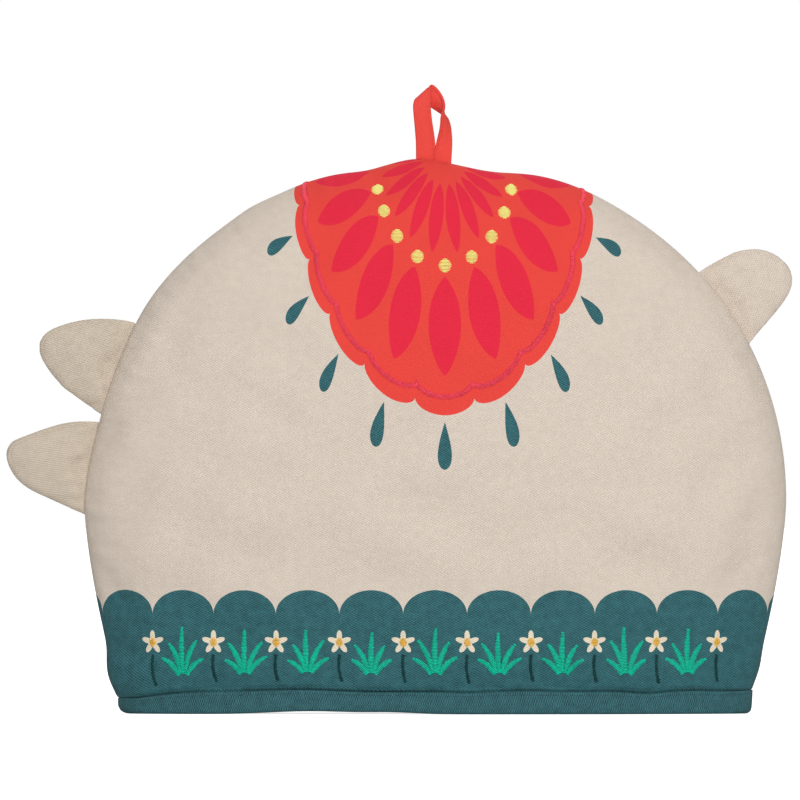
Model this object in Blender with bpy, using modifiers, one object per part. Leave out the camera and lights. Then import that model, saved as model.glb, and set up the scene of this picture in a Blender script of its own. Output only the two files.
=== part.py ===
"""A padded fabric tea cosy, standing on its hem, hollow and open underneath.

Two padded panels are sewn together round a tall arched edge. Two leaf-shaped tabs and a round one
are caught in that seam at the sides, a folded tape makes a hanging loop in its crown, and a
binding wraps the lower edge. Metres, +Z up, the front faces -Y, and the origin is the middle of
the whole object's footprint.
"""

import math
from typing import NamedTuple

import bmesh
import bpy
from mathutils import Vector

# The arch, seen from the front
WIDEST_HALF = 0.1828  # from the middle to the side seam, at the widest line
WIDEST_Z = 0.1108
CROWN_RISE = 0.1752  # from the widest line to the crown
ARCH_POWER = 2.06  # 2 is an ellipse, and more is squarer
HEM_TAPER = 0.0214  # how far each side draws in from the widest line to the floor
TAPER_POWER = 1.5

# The swell of one panel, from the seam's plane
WIDEST_DEPTH = 0.048
HEM_DEPTH = 0.046
SWELL_FLATNESS = 2.2
SWELL_POWER = 0.56

# Cloth and seams
WALL = 0.006  # a padded panel: outer cloth, wadding and inner cloth
TONGUE = 0.003  # the same layers pressed together inside the binding
SEAM_HALF_GAP = 0.00015
CLEARANCE = 0.0005
CAUGHT_DEPTH = 0.005  # how far a tab or tape end reaches into the seam
CAUGHT_HALF = 0.0011  # half the thickness of a tab there
TAPE_THICKNESS = 0.0016
RIM_HALF = 0.0006  # half the thickness of a tab's turned edge
TAB_FLATNESS = 4  # how flat a tab's filling lies between its edges

# The binding round the hem
BINDING_HEIGHT = 0.0115
BINDING_CLOTH = 0.0012
BINDING_SIDE = 0.0030  # height where the straight side begins, above the rounded fold
BINDING_FOOT_INSET = 0.0017  # from the outer face to the flat foot
FOLD_SHARE = 1 / 3  # of both of these, where the rounded fold bends
SQUEEZE_TOP = 0.0210  # height at which the panel is padded to its full thickness again

# Mesh density
ARCH_STEPS = 36
SHARE_STEPS = 10
SQUEEZED_ROWS = 3
PADDED_ROWS = 5
RING_STEPS = 4 * SHARE_STEPS  # the same steps as the panels, so that their facets stay parallel
TAB_COLUMNS = 6
TAB_SMOOTHING = 1
TAPE_SMOOTHING = 2
MERGE = 0.000001
SHARP_ANGLE = math.radians(40)


class EdgeWave(NamedTuple):
    """An unevenness of the arched seam: a rise or a dip centred on one angle from the widest line."""

    angle: float
    rise: float
    spread: float


EDGE_WAVES = (
    EdgeWave(angle=80.5, rise=-0.0027, spread=6.0),
    EdgeWave(angle=93.0, rise=0.0022, spread=4.5),
    EdgeWave(angle=102.0, rise=-0.0011, spread=3.5),
    EdgeWave(angle=122.0, rise=0.0010, spread=4.0),
    EdgeWave(angle=157.0, rise=-0.0030, spread=9.0),
    EdgeWave(angle=169.0, rise=-0.0028, spread=8.0),
)


class TabRow(NamedTuple):
    """A section of a tab: how far along, its width each side of the axis, half its thickness."""

    along: float
    upper: float
    lower: float
    half_thick: float


class Tab(NamedTuple):
    """A padded tab: where the middle of its sewn edge lies, the way it points, and its sections."""

    name: str
    base_x: float
    base_z: float
    axis_angle: float
    rows: tuple


LEAF_TAB_UPPER = Tab(
    name="leaf_tab_upper",
    base_x=-0.1643,
    base_z=0.1794,
    axis_angle=165.7,
    rows=(
        TabRow(-CAUGHT_DEPTH, 0.0248, 0.0256, CAUGHT_HALF),
        TabRow(0.0055, 0.0247, 0.0254, CAUGHT_HALF),
        TabRow(0.0100, 0.0243, 0.0238, 0.0040),
        TabRow(0.0170, 0.0230, 0.0211, 0.0054),
        TabRow(0.0250, 0.0194, 0.0178, 0.0056),
        TabRow(0.0325, 0.0150, 0.0132, 0.0049),
        TabRow(0.0385, 0.0115, 0.0085, 0.0037),
        TabRow(0.0430, 0.0062, 0.0030, 0.0016),
    ),
)
LEAF_TAB_LOWER = Tab(
    name="leaf_tab_lower",
    base_x=-0.1784,
    base_z=0.1279,
    axis_angle=175.2,
    rows=(
        TabRow(-CAUGHT_DEPTH, 0.0243, 0.0244, CAUGHT_HALF),
        TabRow(0.0055, 0.0242, 0.0242, CAUGHT_HALF),
        TabRow(0.0100, 0.0240, 0.0226, 0.0042),
        TabRow(0.0170, 0.0223, 0.0206, 0.0056),
        TabRow(0.0255, 0.0187, 0.0178, 0.0058),
        TabRow(0.0335, 0.0162, 0.0142, 0.0052),
        TabRow(0.0400, 0.0132, 0.0092, 0.0040),
        TabRow(0.0450, 0.0074, 0.0030, 0.0016),
    ),
)
ROUND_TAB = Tab(
    name="round_tab",
    base_x=0.1511,
    base_z=0.2114,
    axis_angle=35.1,
    rows=(
        TabRow(-CAUGHT_DEPTH, 0.0225, 0.0226, CAUGHT_HALF),
        TabRow(0.0055, 0.0225, 0.0222, CAUGHT_HALF),
        TabRow(0.0100, 0.0225, 0.0202, 0.0040),
        TabRow(0.0160, 0.0214, 0.0186, 0.0052),
        TabRow(0.0235, 0.0198, 0.0166, 0.0054),
        TabRow(0.0305, 0.0170, 0.0145, 0.0046),
        TabRow(0.0360, 0.0128, 0.0110, 0.0034),
        TabRow(0.0395, 0.0060, 0.0056, 0.0016),
    ),
)
TABS = (LEAF_TAB_UPPER, LEAF_TAB_LOWER, ROUND_TAB)


class TapeRow(NamedTuple):
    """A crosswise line of the loop's tape: its outer and its inner edge, each as x, y and z."""

    outer: tuple
    inner: tuple


TAPE_END_Z = 0.2820
TAPE_ROWS = (
    TapeRow(outer=(-0.0099, 0.0000, TAPE_END_Z), inner=(-0.0008, 0.0000, TAPE_END_Z)),
    TapeRow(outer=(-0.0099, -0.0002, 0.2890), inner=(-0.0008, -0.0002, 0.2890)),
    TapeRow(outer=(-0.0099, -0.0006, 0.2980), inner=(-0.0007, -0.0006, 0.2975)),
    TapeRow(outer=(-0.0111, -0.0016, 0.3094), inner=(-0.0022, -0.0016, 0.3090)),
    TapeRow(outer=(-0.0114, -0.0024, 0.3156), inner=(-0.0025, -0.0020, 0.3177)),
    TapeRow(outer=(-0.0113, -0.0022, 0.3186), inner=(-0.0025, -0.0016, 0.3245)),
    TapeRow(outer=(-0.0103, -0.0004, 0.3208), inner=(-0.0016, 0.0000, 0.3272)),
    TapeRow(outer=(-0.0088, 0.0016, 0.3188), inner=(0.0005, 0.0014, 0.3256)),
    TapeRow(outer=(-0.0026, 0.0038, 0.3158), inner=(0.0034, 0.0002, 0.3219)),
    TapeRow(outer=(0.0020, 0.0052, 0.3132), inner=(0.0053, -0.0024, 0.3165)),
    TapeRow(outer=(0.0058, 0.0050, 0.3108), inner=(0.0055, -0.0040, 0.3116)),
    TapeRow(outer=(0.0083, 0.0036, 0.3048), inner=(0.0044, -0.0038, 0.3060)),
    TapeRow(outer=(0.0091, 0.0014, 0.2980), inner=(0.0018, -0.0018, 0.2988)),
    TapeRow(outer=(0.0086, 0.0003, 0.2890), inner=(-0.0001, -0.0002, 0.2890)),
    TapeRow(outer=(0.0083, 0.0000, TAPE_END_Z), inner=(-0.0001, 0.0000, TAPE_END_Z)),
)


class Pocket(NamedTuple):
    """A stretch of the seam, in degrees round the arch, that opens round a caught piece."""

    angle: float
    half_span: float
    half_gap: float


POCKET_MARGIN = 1.5  # degrees by which a pocket outreaches its piece at each end
POCKET_EASE = 8.0  # degrees over which the seam then closes again
POCKET_REACH = 8  # power with which a pocket fades from the seam towards the panel's middle


class Finish(NamedTuple):
    """The plain look of a piece."""

    colour: tuple
    roughness: float


GREIGE_TWILL = Finish(colour=(0.658, 0.571, 0.485, 1.0), roughness=0.85)
TEAL_TWILL = Finish(colour=(0.036, 0.117, 0.133, 1.0), roughness=0.85)
RED_TAPE = Finish(colour=(0.847, 0.076, 0.058, 1.0), roughness=0.8)


def smooth_step(share):
    """0 to 1 with a soft start and end."""
    held = min(max(share, 0.0), 1.0)
    return held * held * (3.0 - 2.0 * held)


def arch_angle(x, z):
    """Degrees round the arch: 0 at the right side's widest point, 90 at the crown, 180 at the left."""
    angle = math.degrees(math.atan2(z - WIDEST_Z, x))
    return angle + 360.0 if angle < -90.0 else angle


def edge_wave(angle):
    """How far the seam's unevenness moves it outwards at this angle."""
    return sum(
        wave.rise * math.exp(-(((angle - wave.angle) / wave.spread) ** 2)) for wave in EDGE_WAVES
    )


def arch_radius(angle):
    """From the middle of the widest line to the seam."""
    cosine = abs(math.cos(math.radians(angle)))
    sine = abs(math.sin(math.radians(angle)))
    gauge = (cosine / WIDEST_HALF) ** ARCH_POWER + (sine / CROWN_RISE) ** ARCH_POWER
    return gauge ** (-1.0 / ARCH_POWER) + edge_wave(angle)


def half_width(z):
    """Half the panel's width at or below the widest line; it stays the same inside the binding."""
    drop = (WIDEST_Z - max(z, BINDING_HEIGHT)) / WIDEST_Z
    return WIDEST_HALF - HEM_TAPER * drop**TAPER_POWER


def half_depth(z):
    """The panel's swell at its middle, at or below the widest line."""
    drop = (WIDEST_Z - max(z, BINDING_HEIGHT)) / WIDEST_Z
    return WIDEST_DEPTH - (WIDEST_DEPTH - HEM_DEPTH) * smooth_step(drop)


def swell(share):
    """Share of the swell left at this share of the way from the middle to the seam."""
    return max(0.0, 1.0 - abs(share) ** SWELL_FLATNESS) ** SWELL_POWER


def squeeze(z):
    """1 inside the binding, where the padding is pressed flat, and 0 where it is full again."""
    return 1.0 - smooth_step((z - BINDING_HEIGHT) / (SQUEEZE_TOP - BINDING_HEIGHT))


def tab_directions(tab):
    """The tab's own axis and its crosswise direction, in the seam's plane."""
    turn = math.radians(tab.axis_angle)
    along = Vector((math.cos(turn), 0.0, math.sin(turn)))
    up = 1.0 if along.x > 0 else -1.0
    return along, Vector((-along.z * up, 0.0, along.x * up))


def pocket_for_span(ends, half_thick):
    """The pocket that clears a piece caught between two points of the seam."""
    angles = sorted(arch_angle(x, z) for x, z in ends)
    return Pocket(
        angle=(angles[0] + angles[1]) / 2,
        half_span=(angles[1] - angles[0]) / 2 + POCKET_MARGIN,
        half_gap=half_thick + CLEARANCE,
    )


def seam_pockets():
    """One pocket for each tab and one for the loop's two tape ends."""
    pockets = []
    for tab in TABS:
        base = Vector((tab.base_x, 0.0, tab.base_z))
        _, across = tab_directions(tab)
        top = base + across * tab.rows[0].upper
        bottom = base - across * tab.rows[0].lower
        pockets.append(pocket_for_span(((top.x, top.z), (bottom.x, bottom.z)), CAUGHT_HALF))
    first, last = TAPE_ROWS[0].outer, TAPE_ROWS[-1].outer
    tape_ends = ((first[0], TAPE_END_Z), (last[0], TAPE_END_Z))
    pockets.append(pocket_for_span(tape_ends, TAPE_THICKNESS / 2))
    return tuple(pockets)


POCKETS = seam_pockets()


def seam_half_gap(angle):
    """Half the gap between the two panels at the seam, wider where a piece is caught."""
    gap = SEAM_HALF_GAP
    for pocket in POCKETS:
        past = abs(angle - pocket.angle) - pocket.half_span
        closing = 1.0 - smooth_step(past / POCKET_EASE)
        gap = max(gap, SEAM_HALF_GAP + (pocket.half_gap - SEAM_HALF_GAP) * closing)
    return gap


def depth_point(x, z, share, depth, angle):
    """A point of the front panel, swollen forwards from the seam's plane."""
    opened = seam_half_gap(angle) - SEAM_HALF_GAP
    gap = SEAM_HALF_GAP + opened * abs(share) ** POCKET_REACH
    return Vector((x, -(gap + (depth - gap) * swell(share)), z))


def lower_point(share, z, inset):
    """A point below the widest line, on the skin that lies this far inside the outer one."""
    angle = arch_angle(math.copysign(half_width(z), share), z)
    width = half_width(z) + edge_wave(angle) - inset
    return depth_point(width * share, z, share, half_depth(z) - inset, angle)


def upper_point(share, angle, inset):
    """A point above the widest line, on a ray from its middle to the seam."""
    reach = (arch_radius(angle) - inset) * share
    turn = math.radians(angle)
    x = reach * math.cos(turn)
    z = WIDEST_Z + reach * math.sin(turn)
    return depth_point(x, z, share, WIDEST_DEPTH - inset, angle)


def add_grid(mesh, columns, rows, place):
    """A grid of faces whose points are placed by their shares, 0 to 1, across and along it."""
    made = bmesh.ops.create_grid(mesh, x_segments=columns, y_segments=rows, size=1.0)
    for vertex in made["verts"]:
        vertex.co = place((vertex.co.x + 1.0) / 2, (vertex.co.y + 1.0) / 2)


def eased_share(share):
    """Closer steps towards the seam, where the panel curves most."""
    return math.sin(share * math.pi / 2)


def panel_rows():
    """Heights of the panel's rows between the foot of its tongue and the widest line."""
    tongue_foot = BINDING_CLOTH + CLEARANCE
    squeezed_step = (SQUEEZE_TOP - BINDING_HEIGHT) / SQUEEZED_ROWS
    padded_step = (WIDEST_Z - SQUEEZE_TOP) / PADDED_ROWS
    squeezed = [BINDING_HEIGHT + squeezed_step * step for step in range(SQUEEZED_ROWS)]
    padded = [SQUEEZE_TOP + padded_step * step for step in range(PADDED_ROWS + 1)]
    return [tongue_foot, *squeezed, *padded]


def add_panel_skin(mesh, inset_at):
    """One skin of the front panel; inset_at gives how far it lies inside the outer one."""
    heights = panel_rows()

    def place_lower(across, along):
        z = heights[round(along * (len(heights) - 1))]
        share = eased_share(2.0 * across - 1.0)
        return lower_point(share, z, inset_at(z))

    def place_upper(across, along):
        return upper_point(eased_share(along), 180.0 * (1.0 - across), inset_at(WIDEST_Z))

    add_grid(mesh, 2 * SHARE_STEPS, len(heights) - 1, place_lower)
    add_grid(mesh, ARCH_STEPS, SHARE_STEPS, place_upper)


def outer_inset(z):
    """The outer skin draws in where the binding presses the padding."""
    return (WALL - TONGUE) / 2 * squeeze(z)


def inner_inset(z):
    """The inner skin lies a padded wall inside, and draws out inside the binding."""
    return WALL - outer_inset(z)


def close_between(mesh):
    """Joins the free edges of two skins with a rim, and turns every face outwards."""
    bmesh.ops.remove_doubles(mesh, verts=mesh.verts, dist=MERGE)
    free_edges = [edge for edge in mesh.edges if edge.is_boundary]
    bmesh.ops.bridge_loops(mesh, edges=free_edges)
    bmesh.ops.recalc_face_normals(mesh, faces=mesh.faces)


def object_from(name, mesh, finish, collection):
    """Makes the named object from a finished bmesh and gives it its material."""
    data = bpy.data.meshes.new(name)
    mesh.to_mesh(data)
    mesh.free()
    data.shade_smooth()
    data.set_sharp_from_angle(angle=SHARP_ANGLE)
    made = bpy.data.objects.new(name, data)
    collection.objects.link(made)
    material = bpy.data.materials.new(name)
    material.use_nodes = True
    shader = material.node_tree.nodes["Principled BSDF"]
    shader.inputs["Base Color"].default_value = finish.colour
    shader.inputs["Roughness"].default_value = finish.roughness
    shader.inputs["Metallic"].default_value = 0.0
    data.materials.append(material)
    return made


def make_panel(name, collection, mirrored):
    """A padded panel, open towards the hollow; the back one is the front one mirrored in depth."""
    mesh = bmesh.new()
    add_panel_skin(mesh, outer_inset)
    add_panel_skin(mesh, inner_inset)
    close_between(mesh)
    if mirrored:
        for vertex in mesh.verts:
            vertex.co.y = -vertex.co.y
        bmesh.ops.reverse_faces(mesh, faces=mesh.faces)
    return object_from(name, mesh, GREIGE_TWILL, collection)


def binding_profile():
    """The binding's section: how far inside the panel's outer face, and how high, point by point."""
    inner_face = WALL - (WALL - TONGUE) / 2 + CLEARANCE
    outer_face = (WALL - TONGUE) / 2 - CLEARANCE
    outside = outer_face - BINDING_CLOTH
    inside = inner_face + BINDING_CLOTH
    fold_inset = BINDING_FOOT_INSET * FOLD_SHARE
    fold_height = BINDING_SIDE * FOLD_SHARE
    return (
        (outside, BINDING_HEIGHT),
        (outside, BINDING_SIDE),
        (outside + fold_inset, fold_height),
        (outside + BINDING_FOOT_INSET, 0.0),
        (inside - BINDING_FOOT_INSET, 0.0),
        (inside - fold_inset, fold_height),
        (inside, BINDING_SIDE),
        (inside, BINDING_HEIGHT),
        (inner_face, BINDING_HEIGHT),
        (inner_face, BINDING_CLOTH),
        (outer_face, BINDING_CLOTH),
        (outer_face, BINDING_HEIGHT),
    )


def make_binding(collection):
    """The binding: its section swept round the oval of the hem."""
    profile = binding_profile()

    def place(across, along):
        inset, height = profile[round(along * len(profile)) % len(profile)]
        turn = 2.0 * math.pi * across
        share = math.sin(turn)
        depth = (half_depth(0.0) - inset) * swell(share)
        width = half_width(0.0) - inset
        return Vector((width * share, -math.copysign(depth, math.cos(turn)), height))

    mesh = bmesh.new()
    add_grid(mesh, RING_STEPS, len(profile), place)
    bmesh.ops.remove_doubles(mesh, verts=mesh.verts, dist=MERGE)
    bmesh.ops.recalc_face_normals(mesh, faces=mesh.faces)
    return object_from("hem_binding", mesh, TEAL_TWILL, collection)


def add_smoothing(piece, levels):
    """A Subdivision Surface that looks the same in the viewport and in a render."""
    smoothing = piece.modifiers.new("Smoothing", "SUBSURF")
    smoothing.levels = levels
    smoothing.render_levels = levels
    return smoothing


def make_tab(tab, collection):
    """A padded tab: a coarse cage of its two faces, rounded by subdivision."""
    base = Vector((tab.base_x, 0.0, tab.base_z))
    along, across_way = tab_directions(tab)

    def face_of(side):
        def place(across, length):
            row = tab.rows[round(length * (len(tab.rows) - 1))]
            share = eased_share(2.0 * across - 1.0)
            width = row.upper if share > 0 else row.lower
            plump = math.sqrt(max(0.0, 1.0 - share**TAB_FLATNESS))
            half_thick = RIM_HALF + (row.half_thick - RIM_HALF) * plump
            flat = base + along * row.along + across_way * (width * share)
            return flat + Vector((0.0, side * half_thick, 0.0))

        return place

    mesh = bmesh.new()
    for side in (-1.0, 1.0):
        add_grid(mesh, TAB_COLUMNS, len(tab.rows) - 1, face_of(side))
    close_between(mesh)
    made = object_from(tab.name, mesh, GREIGE_TWILL, collection)
    add_smoothing(made, TAB_SMOOTHING)
    return made


def make_loop(collection):
    """The hanging loop: the tape between its two edges, smoothed and then given its thickness."""

    def place(across, along):
        row = TAPE_ROWS[round(along * (len(TAPE_ROWS) - 1))]
        return Vector(row.outer).lerp(Vector(row.inner), across)

    mesh = bmesh.new()
    add_grid(mesh, 1, len(TAPE_ROWS) - 1, place)
    made = object_from("hanging_loop", mesh, RED_TAPE, collection)
    smoothing = add_smoothing(made, TAPE_SMOOTHING)
    smoothing.boundary_smooth = "PRESERVE_CORNERS"
    tape = made.modifiers.new("Tape thickness", "SOLIDIFY")
    tape.thickness = TAPE_THICKNESS
    tape.offset = 0.0
    return made


def centre_on_footprint(pieces):
    """Moves all the pieces so that the origin is under the middle of their common box."""
    bpy.context.view_layer.update()
    graph = bpy.context.evaluated_depsgraph_get()
    corners = [
        Vector(corner) for piece in pieces for corner in piece.evaluated_get(graph).bound_box
    ]
    middle_x = (min(point.x for point in corners) + max(point.x for point in corners)) / 2
    middle_y = (min(point.y for point in corners) + max(point.y for point in corners)) / 2
    for piece in pieces:
        piece.parent.location = (-middle_x, -middle_y, 0.0)


def main():
    """Clears the scene and builds the tea cosy."""
    for old in list(bpy.data.objects):
        bpy.data.objects.remove(old)
    collection = bpy.data.collections.new("tea_cosy")
    bpy.context.scene.collection.children.link(collection)
    stand = bpy.data.objects.new("tea_cosy_footprint", None)
    collection.objects.link(stand)
    pieces = [
        make_panel("front_panel", collection, mirrored=False),
        make_panel("back_panel", collection, mirrored=True),
        make_binding(collection),
        *(make_tab(tab, collection) for tab in TABS),
        make_loop(collection),
    ]
    for piece in pieces:
        piece.parent = stand
    centre_on_footprint(pieces)


main()
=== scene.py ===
"""Looks of a padded tea cosy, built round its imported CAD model.

Two padded panels of printed twill are sewn together round an arch. A binding wraps their lower
edges, three padded tabs are caught in the seam, and a folded tape makes the hanging loop. The front
is embroidered. Metres, +Z up, the front faces -Y. Cloth coordinates are metres too, measured along
the cloth from the foot of the panel's middle line.
"""

import logging
import math
from dataclasses import dataclass
from enum import Enum

import bmesh
import bpy
import numpy as np
from bpy.types import Material, Mesh, Node, NodeSocket, NodeTree, Object
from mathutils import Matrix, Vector


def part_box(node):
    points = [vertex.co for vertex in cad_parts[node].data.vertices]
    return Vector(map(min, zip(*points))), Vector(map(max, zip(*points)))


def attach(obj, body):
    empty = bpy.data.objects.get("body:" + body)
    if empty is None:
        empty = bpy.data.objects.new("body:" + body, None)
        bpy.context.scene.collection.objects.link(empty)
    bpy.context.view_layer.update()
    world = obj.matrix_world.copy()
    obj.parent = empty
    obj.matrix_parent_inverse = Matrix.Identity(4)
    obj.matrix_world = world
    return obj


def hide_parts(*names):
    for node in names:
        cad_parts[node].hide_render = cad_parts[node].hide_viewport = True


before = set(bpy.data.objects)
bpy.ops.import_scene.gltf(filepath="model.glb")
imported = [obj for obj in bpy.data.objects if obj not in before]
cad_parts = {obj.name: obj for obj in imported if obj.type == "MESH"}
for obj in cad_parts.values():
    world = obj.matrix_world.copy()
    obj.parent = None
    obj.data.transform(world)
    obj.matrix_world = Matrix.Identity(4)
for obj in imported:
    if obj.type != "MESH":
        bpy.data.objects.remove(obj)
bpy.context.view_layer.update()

log = logging.getLogger("tea_cosy")

BODY = "root"
CLOTH_MAP = "cloth"  # the UV map that holds a piece's cloth coordinates
HALF_WIDTH = "half_width"  # the stitch paths' attribute: half the length of the thread laid there
MERGE = 0.000001
TINY = 1e-12  # keeps a division by a length from failing
LINING_SHIFT = 1.0  # how far a lining's cloth coordinates lie from its outer cloth's
Array = np.ndarray
Colour = tuple[float, float, float]


def linear(red: int, green: int, blue: int) -> Colour:
    """A colour given as it looks on a screen, 0 to 255, as scene-linear light."""

    def channel(value: int) -> float:
        """One channel of it."""
        share = value / 255
        return share / 12.92 if share <= 0.04045 else ((share + 0.055) / 1.055) ** 2.4

    return channel(red), channel(green), channel(blue)


# ---- the cosy's shape


@dataclass(frozen=True)
class Wave:
    """An unevenness of an edge, centred on one place along it.

    Args:
        middle: its place: degrees round the arch, or metres from the cosy's middle line.
        rise: how far the edge lies further out or up there.
        spread: how far along the edge it fades.
    """

    middle: float
    rise: float
    spread: float


ARCH_WAVES = (
    Wave(66.0, 0.0010, 9.0),
    Wave(80.5, -0.0027, 6.0),
    Wave(93.0, 0.0022, 4.5),
    Wave(102.0, -0.0011, 3.5),
    Wave(112.0, 0.0008, 6.0),
    Wave(122.0, 0.0010, 4.0),
    Wave(157.0, -0.0030, 9.0),
    Wave(169.0, -0.0028, 8.0),
)
BINDING_TOP_WAVES = (
    Wave(-0.1660, -0.0042, 0.0260),
    Wave(-0.0713, 0.0011, 0.0240),
    Wave(0.0161, -0.0006, 0.0100),
    Wave(0.0470, 0.0005, 0.0140),
    Wave(0.1100, -0.0010, 0.0100),
    Wave(0.1340, 0.0005, 0.0120),
)
BINDING_FOOT_WAVES = (Wave(-0.0640, 0.0016, 0.0300), Wave(-0.0220, 0.0009, 0.0180))
BINDING_HEIGHT = 0.0115
FOOT_TOP = 0.003  # where the binding's straight side begins
SHIFT_TOP = 0.014  # height to which the panels' cloth follows the binding's waves in full
SHIFT_FADE = 0.020  # how far above that it stops


def waved(waves: tuple[Wave, ...], places: Array) -> Array:
    """How far the waves move an edge at these places."""
    return np.sum([w.rise * np.exp(-(((places - w.middle) / w.spread) ** 2)) for w in waves], axis=0)


def smooth_step(share: Array) -> Array:
    """0 to 1 with a soft start and end."""
    held = np.clip(share, 0.0, 1.0)
    return held * held * (3.0 - 2.0 * held)


@dataclass(frozen=True)
class CosyForm:
    """The closed form of the CAD panels, which the visible cloth follows.

    Args:
        middle_x: where the cosy's own middle line stands.
    """

    middle_x: float
    widest_half: float = 0.1828
    widest_z: float = 0.1108
    crown_rise: float = 0.1758
    arch_power: float = 2.06
    hem_taper: float = 0.0214
    taper_power: float = 1.5
    widest_depth: float = 0.048
    hem_depth: float = 0.046
    swell_flatness: float = 2.2
    swell_power: float = 0.56

    def arch_radius(self, angle: Array) -> Array:
        """From the middle of the widest line to the even seam, by degrees round the arch."""
        turn = np.radians(angle)
        gauge = (np.abs(np.cos(turn)) / self.widest_half) ** self.arch_power
        gauge = gauge + (np.abs(np.sin(turn)) / self.crown_rise) ** self.arch_power
        return gauge ** (-1.0 / self.arch_power)

    def _drop(self, z: Array) -> Array:
        """Share of the way down from the widest line to the floor."""
        return (self.widest_z - np.maximum(z, BINDING_HEIGHT)) / self.widest_z

    def half_width(self, z: Array) -> Array:
        """Half the panel's width at or below the widest line."""
        return self.widest_half - self.hem_taper * self._drop(z) ** self.taper_power

    def half_depth(self, z: Array) -> Array:
        """The panel's swell at its middle, at or below the widest line."""
        return self.widest_depth - (self.widest_depth - self.hem_depth) * smooth_step(self._drop(z))

    def swell(self, share: Array) -> Array:
        """Share of the swell left at this share of the way from the middle to the seam."""
        return np.maximum(0.0, 1.0 - np.abs(share) ** self.swell_flatness) ** self.swell_power

    def side_angle(self, z: Array, side: float) -> Array:
        """Degrees round the arch of the side seam below the widest line; side is -1 or 1."""
        angle = np.degrees(np.arctan2(z - self.widest_z, side * self.half_width(z)))
        return np.where(angle < -90.0, angle + 360.0, angle)


def way_up(z: Array) -> Array:
    """0 at the binding's foot to 1 at its upper edge."""
    return smooth_step((z - FOOT_TOP) / (BINDING_HEIGHT - FOOT_TOP))


def hem_shift(x: Array, z: Array) -> Array:
    """How far up the hem's cloth lies off its even place.

    Args:
        x: the way across, from the cosy's middle line.
        z: the height.

    Returns:
        The shift, which fades out up the panels.
    """
    upper = way_up(z)
    near = 1.0 - smooth_step((z - SHIFT_TOP) / SHIFT_FADE)
    return (waved(BINDING_TOP_WAVES, x) * upper + waved(BINDING_FOOT_WAVES, x) * (1.0 - upper)) * near


# ---- meshes


def grid_quads(rows: int, columns: int) -> Array:
    """Four corner numbers for each quad between the points of a grid, rows of columns."""
    corner = np.arange(rows - 1)[:, None] * columns + np.arange(columns - 1)
    return np.stack([corner, corner + 1, corner + columns + 1, corner + columns], -1).reshape(-1, 4)


def lengths_along(points: Array) -> Array:
    """The length along each line of points, from its first point to each other."""
    steps = np.linalg.norm(np.diff(points, axis=1), axis=2)
    return np.concatenate([np.zeros((len(points), 1)), np.cumsum(steps, axis=1)], axis=1)


def flat_lengths(x: Array, y: Array) -> Array:
    """The length along one flat line, from its first point to each other."""
    return np.concatenate([[0.0], np.cumsum(np.hypot(np.diff(x), np.diff(y)))])


def unit(vectors: Array) -> Array:
    """The same directions at length 1."""
    return vectors / np.maximum(np.linalg.norm(vectors, axis=-1, keepdims=True), TINY)


def curved(points: Array, rounds: int) -> Array:
    """Refines a line of points, or of edges, into a smooth curve that keeps its two ends.

    Args:
        points: the line.
        rounds: how often each stretch is halved.

    Returns:
        The finer line.
    """
    for _ in range(rounds):
        finer = np.zeros((2 * len(points) - 1, *points.shape[1:]))
        finer[0::2] = points
        finer[2:-1:2] = points[1:-1] * 0.75 + (points[:-2] + points[2:]) / 8
        finer[1::2] = (points[1:] + points[:-1]) / 2
        points = finer
    return points


def resampled(line: Array, shares: Array) -> Array:
    """Points at these shares of the length of a line."""
    length = lengths_along(line[None])[0]
    return np.stack([np.interp(shares * length[-1], length, part) for part in line.T], 1)


def object_from_quads(
    name: str,
    points: Array,
    quads: Array,
    corner_flat: Array,
    materials: list[Material],
    slots: Array | None = None,
) -> Object:
    """Makes a smooth object whose faces carry cloth coordinates.

    Args:
        name: the piece's name.
        points: all its points.
        quads: four point numbers for each face.
        corner_flat: the cloth coordinates at each face's corners.
        materials: its finishes.
        slots: which finish each face has; all have the first without it.

    Returns:
        The object, linked to the scene.
    """
    mesh = bpy.data.meshes.new(name)
    mesh.from_pydata(points.reshape(-1, 3).tolist(), [], quads.tolist())
    flat_map = mesh.uv_layers.new(name=CLOTH_MAP)
    flat_map.data.foreach_set("uv", corner_flat.astype(np.float32).ravel())
    for material in materials:
        mesh.materials.append(material)
    if slots is not None:
        mesh.polygons.foreach_set("material_index", slots.astype(np.int32))
    mesh.shade_smooth()
    made = bpy.data.objects.new(name, mesh)
    bpy.context.scene.collection.objects.link(made)
    return made


def close_up(piece: Object) -> None:
    """Merges a closed piece's doubled points, fills its open foot or ends, and turns its faces out."""
    mesh = bmesh.new()
    mesh.from_mesh(piece.data)
    bmesh.ops.remove_doubles(mesh, verts=mesh.verts, dist=MERGE)
    bmesh.ops.holes_fill(mesh, edges=[edge for edge in mesh.edges if edge.is_boundary], sides=0)
    bmesh.ops.recalc_face_normals(mesh, faces=mesh.faces)
    if mesh.calc_volume(signed=True) < 0:
        bmesh.ops.reverse_faces(mesh, faces=mesh.faces)
    mesh.to_mesh(piece.data)
    mesh.free()


def settled_mesh(piece: Object) -> None:
    """Replaces a piece's mesh with what its modifiers make of it, and drops them."""
    graph = bpy.context.evaluated_depsgraph_get()
    made = bpy.data.meshes.new_from_object(piece.evaluated_get(graph))
    piece.modifiers.clear()
    old = piece.data
    piece.data = made
    bpy.data.meshes.remove(old)


def mesh_points(mesh: Mesh) -> Array:
    """The mesh's points as rows of x, y and z."""
    flat = np.zeros(len(mesh.vertices) * 3, np.float32)
    mesh.vertices.foreach_get("co", flat)
    return flat.reshape(-1, 3).astype(float)


def set_mesh_points(mesh: Mesh, points: Array) -> None:
    """Moves the mesh's points."""
    mesh.vertices.foreach_set("co", points.astype(np.float32).ravel())
    mesh.update()


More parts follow.
